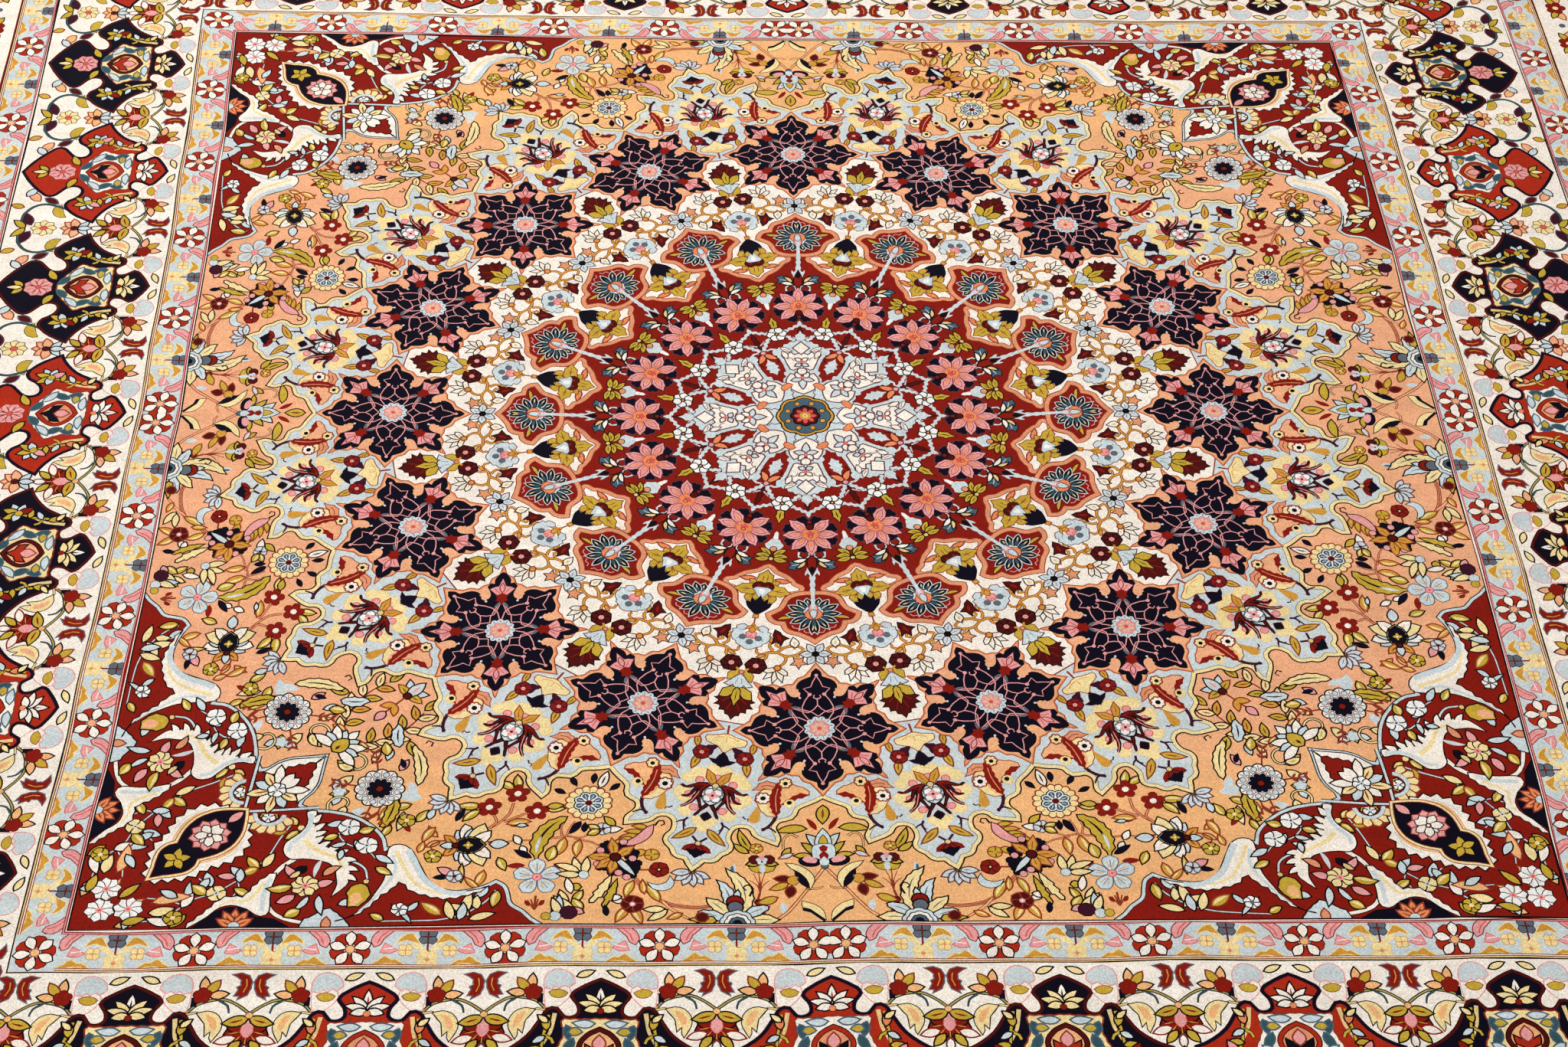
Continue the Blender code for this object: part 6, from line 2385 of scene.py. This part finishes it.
# %% [markdown]
# ## The bound edge
# The edge of a rug is overcast: silk is wound round it, stitch beside stitch, so that the knots can't slip
# out. The photograph cuts the edge off, so this is the plain usual kind. One stitch is an arc of thread, and
# Geometry Nodes carry it along a closed path round the rug. Real stitches are about a millimetre wide. Here
# they are five, because finer ones wouldn't show, and a stitch of a few dozen faces keeps fifteen hundred of
# them light.

# %% The path along the edge
PATH_INSET = 0.0015
PATH_POINTS = 48


def edge_path():
    """A closed loop of mesh edges that runs anticlockwise inside the rug's edge."""
    corners = [(*place(u, v, PATH_INSET), THICKNESS / 2) for u, v in rim_shares(PATH_POINTS)]
    data = bpy.data.meshes.new("edge_path")
    data.from_pydata(corners, [(k, (k + 1) % len(corners)) for k in range(len(corners))], [])
    carrier = bpy.data.objects.new("edge_path", data)
    bpy.context.scene.collection.objects.link(carrier)
    return carrier


carrier = edge_path()
print("edge path:", len(carrier.data.vertices), "points")

# %% Silk thread
PLY_PITCH = 0.00033
# A wave texture has about this many bands in each unit of its scale.
WAVE_BANDS = 3.2


def wound_silk(name, colour):
    """Plied silk thread: fine slanting ridges with painted shade in their grooves, a soft gloss, and a skein
    that varies a little.
    """
    material, tree, where = bare_material(name)
    skein = add(tree, "ShaderNodeTexNoise", {"Vector": where, "Scale": 60.0, "Detail": 4.0})
    # The plies are a third of a millimetre apart.
    plies = add(tree, "ShaderNodeTexWave", {"Vector": where, "Scale": 1 / (WAVE_BANDS * PLY_PITCH),
                                            "Distortion": 1.5},
                bands_direction="DIAGONAL")
    tone = add(tree, "ShaderNodeMapRange", {"Value": skein.outputs["Fac"], "To Min": 0.86, "To Max": 1.05,
                                            **MIDDLE_OF_NOISE})
    # The dye is darker in the grooves between the plies: painted shade.
    groove_shade = add(tree, "ShaderNodeMapRange", {"Value": plies.outputs["Fac"], "To Min": 0.84, "To Max": 1.04})
    product = add(tree, "ShaderNodeMath", {0: tone.outputs["Result"], 1: groove_shade.outputs["Result"]},
                  operation="MULTIPLY")
    coloured = add(tree, "ShaderNodeVectorMath", {0: linear(colour), "Scale": product.outputs["Value"]},
                   operation="SCALE")
    bump = add(tree, "ShaderNodeBump", {"Height": plies.outputs["Fac"], "Strength": 0.4, "Distance": 0.0002})
    shader = add(tree, "ShaderNodeBsdfPrincipled", {
        "Base Color": coloured.outputs["Vector"], "Roughness": 0.5, "Normal": bump.outputs["Normal"],
        "Specular IOR Level": 0.2,
    })
    add(tree, "ShaderNodeOutputMaterial", {"Surface": shader.outputs["BSDF"]})
    return material


edge_silk = wound_silk("overcast_silk_thread", "#d8c49a")
print("material:", edge_silk.name)

# %% One stitch, carried along the path
ARC_START = 80
ARC_SWEEP = 200
LEAST_SIZE = (0.97, 0.97, 0.90)
MOST_SIZE = (1.02, 1.0, 1.06)


def stitch_tree():
    """Geometry nodes that set an arc of thread at even steps along a curve."""
    tree = bpy.data.node_groups.new("overcast_stitches", "GeometryNodeTree")
    face = tree.interface
    face.new_socket("Path", in_out="INPUT", socket_type="NodeSocketGeometry")
    for name, kind in (("Pitch", "Float"), ("Arc radius", "Float"), ("Thread radius", "Float"),
                       ("Flatness", "Float"), ("Seed", "Int"), ("Thread", "Material")):
        face.new_socket(name, in_out="INPUT", socket_type="NodeSocket" + kind)
    face.new_socket("Stitches", in_out="OUTPUT", socket_type="NodeSocketGeometry")
    given = add(tree, "NodeGroupInput").outputs
    path = add(tree, "GeometryNodeMeshToCurve", {"Mesh": given["Path"]})
    steps = add(tree, "GeometryNodeResampleCurve", {"Curve": path.outputs["Curve"], "Length": given["Pitch"]},
                mode="LENGTH")
    arc = add(tree, "GeometryNodeCurveArc", {"Resolution": 7, "Radius": given["Arc radius"],
                                             "Start Angle": math.radians(ARC_START),
                                             "Sweep Angle": math.radians(ARC_SWEEP)})
    round_thread = add(tree, "GeometryNodeCurvePrimitiveCircle",
                       {"Resolution": 5, "Radius": given["Thread radius"]})
    swept = add(tree, "GeometryNodeCurveToMesh", {"Curve": arc.outputs["Curve"],
                                                  "Profile Curve": round_thread.outputs["Curve"],
                                                  "Fill Caps": True})
    spread = add(tree, "ShaderNodeCombineXYZ", {"X": 1.0, "Y": 1.0, "Z": given["Flatness"]})
    flat = add(tree, "GeometryNodeTransform", {"Geometry": swept.outputs["Mesh"],
                                               "Scale": spread.outputs["Vector"]})
    along = add(tree, "GeometryNodeInputTangent").outputs["Tangent"]
    turned = add(tree, "FunctionNodeAxesToRotation", {"Primary Axis": along, "Secondary Axis": (0, 0, 1)},
                 primary_axis="Z", secondary_axis="Y")
    uneven = add(tree, "FunctionNodeRandomValue", {"Min": LEAST_SIZE, "Max": MOST_SIZE,
                                                   "Seed": given["Seed"]}, data_type="FLOAT_VECTOR")
    copies = add(tree, "GeometryNodeInstanceOnPoints", {
        "Points": steps.outputs["Curve"], "Instance": flat.outputs["Geometry"],
        "Rotation": turned.outputs["Rotation"], "Scale": uneven.outputs["Value"]})
    real = add(tree, "GeometryNodeRealizeInstances", {"Geometry": copies.outputs["Instances"]})
    dressed = add(tree, "GeometryNodeSetMaterial", {"Geometry": real.outputs["Geometry"],
                                                    "Material": given["Thread"]})
    add(tree, "NodeGroupOutput", {"Stitches": dressed.outputs["Geometry"]})
    return tree


STITCH = {"Pitch": 0.0050, "Arc radius": 0.0018, "Thread radius": 0.0006, "Flatness": 4.1, "Seed": 7,
          "Thread": edge_silk}
tree = stitch_tree()
modifier = carrier.modifiers.new("overcast", "NODES")
modifier.node_group = tree
for socket in tree.interface.items_tree:
    if socket.in_out == "INPUT" and socket.name in STITCH:
        modifier[socket.identifier] = STITCH[socket.name]
print("stitch tree:", len(tree.nodes), "nodes")

# %% Stitches as a plain mesh
now = carrier.evaluated_get(bpy.context.evaluated_depsgraph_get())
bound_edge = bpy.data.objects.new("bound_edge", bpy.data.meshes.new_from_object(now))
bound_edge.data.name = "bound_edge"
bpy.context.scene.collection.objects.link(bound_edge)
bpy.data.objects.remove(carrier)
# The swept arc brings an empty slot before the thread's own, so that one goes.
bound_edge.data.materials.pop(index=0)
bound_edge.data.polygons.foreach_set("material_index", [0] * len(bound_edge.data.polygons))
bound_edge.data.polygons.foreach_set("use_smooth", [True] * len(bound_edge.data.polygons))
thread_faces = sum(len(face.vertices) - 2 for face in bound_edge.data.polygons)
print("bound edge:", thread_faces, "triangles,", bound_edge.data.materials[0].name)
reach = np.array([tuple(vertex.co) for vertex in bound_edge.data.vertices])
print("bound edge from", reach.min(axis=0).round(4), "to", reach.max(axis=0).round(4))

# %% [markdown]
# ## The pile, in squares
# The mesh is too fine for one object, so it is cut into five by five squares. Each square also gets a flat
# map of its own, which fills the whole map, so a baked copy keeps its lines sharp.

# %% Cut the pile into squares
TILES = 5
SECOND_SKEIN = 0.50
SKEIN_FADE = 0.08
dye_colours = np.array([linear(DYES[name]) + [1.0] for name in dye_names])
UNDER_PILE = 0.0004
NEAR_EDGE = 1e-4
rim_height = THICKNESS - PILE_DEPTH - UNDER_PILE
on_rim = np.maximum(np.abs(whole.real), np.abs(whole.imag)) > HALF_SQUARE - NEAR_EDGE


def skirt(triangles, dyes):
    """A short wall under the pile's outer edge, so that no gap shows from the side."""
    walls = []
    wall_dyes = []
    for a, b in ((0, 1), (1, 2), (2, 0)):
        start, end = triangles[:, a], triangles[:, b]
        same_x = np.abs(whole[start].real - whole[end].real) < NEAR_EDGE
        same_y = np.abs(whole[start].imag - whole[end].imag) < NEAR_EDGE
        far_x = np.abs(whole[start].real) > HALF_SQUARE - NEAR_EDGE
        far_y = np.abs(whole[start].imag) > HALF_SQUARE - NEAR_EDGE
        rim = on_rim[start] & on_rim[end] & ((same_x & far_x) | (same_y & far_y))
        low = len(whole)
        walls.append(np.stack([end[rim], start[rim], start[rim] + low], 1))
        walls.append(np.stack([end[rim], start[rim] + low, end[rim] + low], 1))
        wall_dyes += [dyes[rim], dyes[rim]]
    return np.concatenate(walls), np.concatenate(wall_dyes)


walls, wall_dyes = skirt(triangles, dyes)
lowered = ground.copy()
lowered[:, 2] = rim_height
all_points = np.concatenate([ground, lowered])
all_faces = np.concatenate([triangles, walls])
all_dyes = np.concatenate([dyes, wall_dyes])
middles = all_points[all_faces].mean(axis=1)
column = np.clip(((middles[:, 0] / HALF_WIDTH + 1) / 2 * TILES).astype(int), 0, TILES - 1)
row = np.clip(((middles[:, 1] / HALF_LENGTH + 1) / 2 * TILES).astype(int), 0, TILES - 1)


def skeins(faces, dyes):
    """The colour at each corner: across the middle the gold turns to apricot, from a second skein."""
    colours = dye_colours[np.repeat(dyes, 3)]
    share = np.clip((SECOND_SKEIN - np.abs(all_points[faces.reshape(-1), 1])) / SKEIN_FADE, 0, 1)
    share *= np.repeat(dyes, 3) == dye_names.index("gold")
    return colours + share[:, None] * (dye_colours[dye_names.index("apricot")] - colours)


def pile_square(i, j):
    """One square of the pile as a plain mesh with its dyes and its flat map."""
    mine = (column == i) & (row == j)
    used, local = np.unique(all_faces[mine], return_inverse=True)
    local = local.reshape(-1)
    points = all_points[used]
    count = len(local) // 3
    data = bpy.data.meshes.new(f"pile_{j}_{i}")
    data.vertices.add(len(points))
    data.vertices.foreach_set("co", points.ravel())
    data.loops.add(len(local))
    data.loops.foreach_set("vertex_index", local.astype(np.int32))
    data.polygons.add(count)
    data.polygons.foreach_set("loop_start", np.arange(0, 3 * count, 3, dtype=np.int32))
    data.update(calc_edges=True)
    colours = data.color_attributes.new("dye", "FLOAT_COLOR", "CORNER")
    colours.data.foreach_set("color", skeins(all_faces[mine], all_dyes[mine]).ravel())
    flat = data.uv_layers.new(name="OFBake")
    low, high = points.min(axis=0), points.max(axis=0)
    flat.data.foreach_set("uv", ((points[local] - low)[:, :2] / (high - low)[:2]).ravel())
    data.materials.append(pile_silk)
    square = bpy.data.objects.new(data.name, data)
    bpy.context.scene.collection.objects.link(square)
    return square, count, (high - low)[:2].max()


squares = []
largest = 0
smallest_side = math.inf
for j in range(TILES):
    for i in range(TILES):
        square, count, side = pile_square(i, j)
        squares.append(square)
        largest = max(largest, count)
        smallest_side = min(smallest_side, side)
print(len(squares), "squares, the largest with", largest, "triangles, the smallest",
      round(smallest_side, 4), "m long")

# %% [markdown]
# ## Floor, light and finish
# A plain pale floor and large soft lamps, as in a studio. The lamp behind the rug is the stronger one: it
# grazes the far pile and lifts it, as in the photograph. The floor is stage, so it isn't part of the object.

# %% Floor
def pale_floor():
    """Smooth pale plaster floor with a faint mottle."""
    material, tree, where = bare_material("pale_plaster")
    mottle = add(tree, "ShaderNodeTexNoise", {"Vector": where, "Scale": 3.0, "Detail": 5.0})
    tone = add(tree, "ShaderNodeMapRange", {"Value": mottle.outputs["Fac"], "To Min": 0.70, "To Max": 0.80})
    shader = add(tree, "ShaderNodeBsdfPrincipled", {"Base Color": tone.outputs["Result"], "Roughness": 0.7})
    add(tree, "ShaderNodeOutputMaterial", {"Surface": shader.outputs["BSDF"]})
    return material


FLOOR_HALF = 6.0
floor_data = bpy.data.meshes.new("floor")
floor_corners = [(x * FLOOR_HALF, y * FLOOR_HALF, 0) for x, y in ((-1, -1), (1, -1), (1, 1), (-1, 1))]
floor_data.from_pydata(floor_corners, [], [(0, 1, 2, 3)])
floor_data.materials.append(pale_floor())
floor = bpy.data.objects.new("floor", floor_data)
bpy.context.scene.collection.objects.link(floor)
print("floor made")


# %% Lamps
def lamp(name, place, power, size, colour):
    """A square soft lamp that faces the middle of the rug."""
    data = bpy.data.lights.new(name, "AREA")
    data.energy = power
    data.size = size
    data.color = linear(colour)
    made = bpy.data.objects.new(name, data)
    made.location = place
    made.rotation_euler = (-Vector(place)).to_track_quat("-Z", "Y").to_euler()
    bpy.context.scene.collection.objects.link(made)


lamp("lamp_behind", (-1.5, 3.1, 2.6), power=98, size=2.4, colour="#fff8f0")
lamp("lamp_above", (-0.5, 0.0, 3.4), power=60, size=3.0, colour="#ffffff")
world = bpy.data.worlds.new("studio")
world.use_nodes = True
sky = world.node_tree.nodes["Background"].inputs
sky["Color"].default_value = (*linear("#f4f6f8"), 1)
sky["Strength"].default_value = 0.50
bpy.context.scene.world = world
bpy.context.scene.view_settings.view_transform = "Standard"
print("lamps made")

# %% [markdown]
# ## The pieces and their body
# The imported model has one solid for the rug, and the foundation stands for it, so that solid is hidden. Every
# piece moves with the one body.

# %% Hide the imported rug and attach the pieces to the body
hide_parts("rug")
for piece in [foundation, bound_edge] + squares:
    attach(piece, "root")
print("pieces told:", 2 + len(squares))
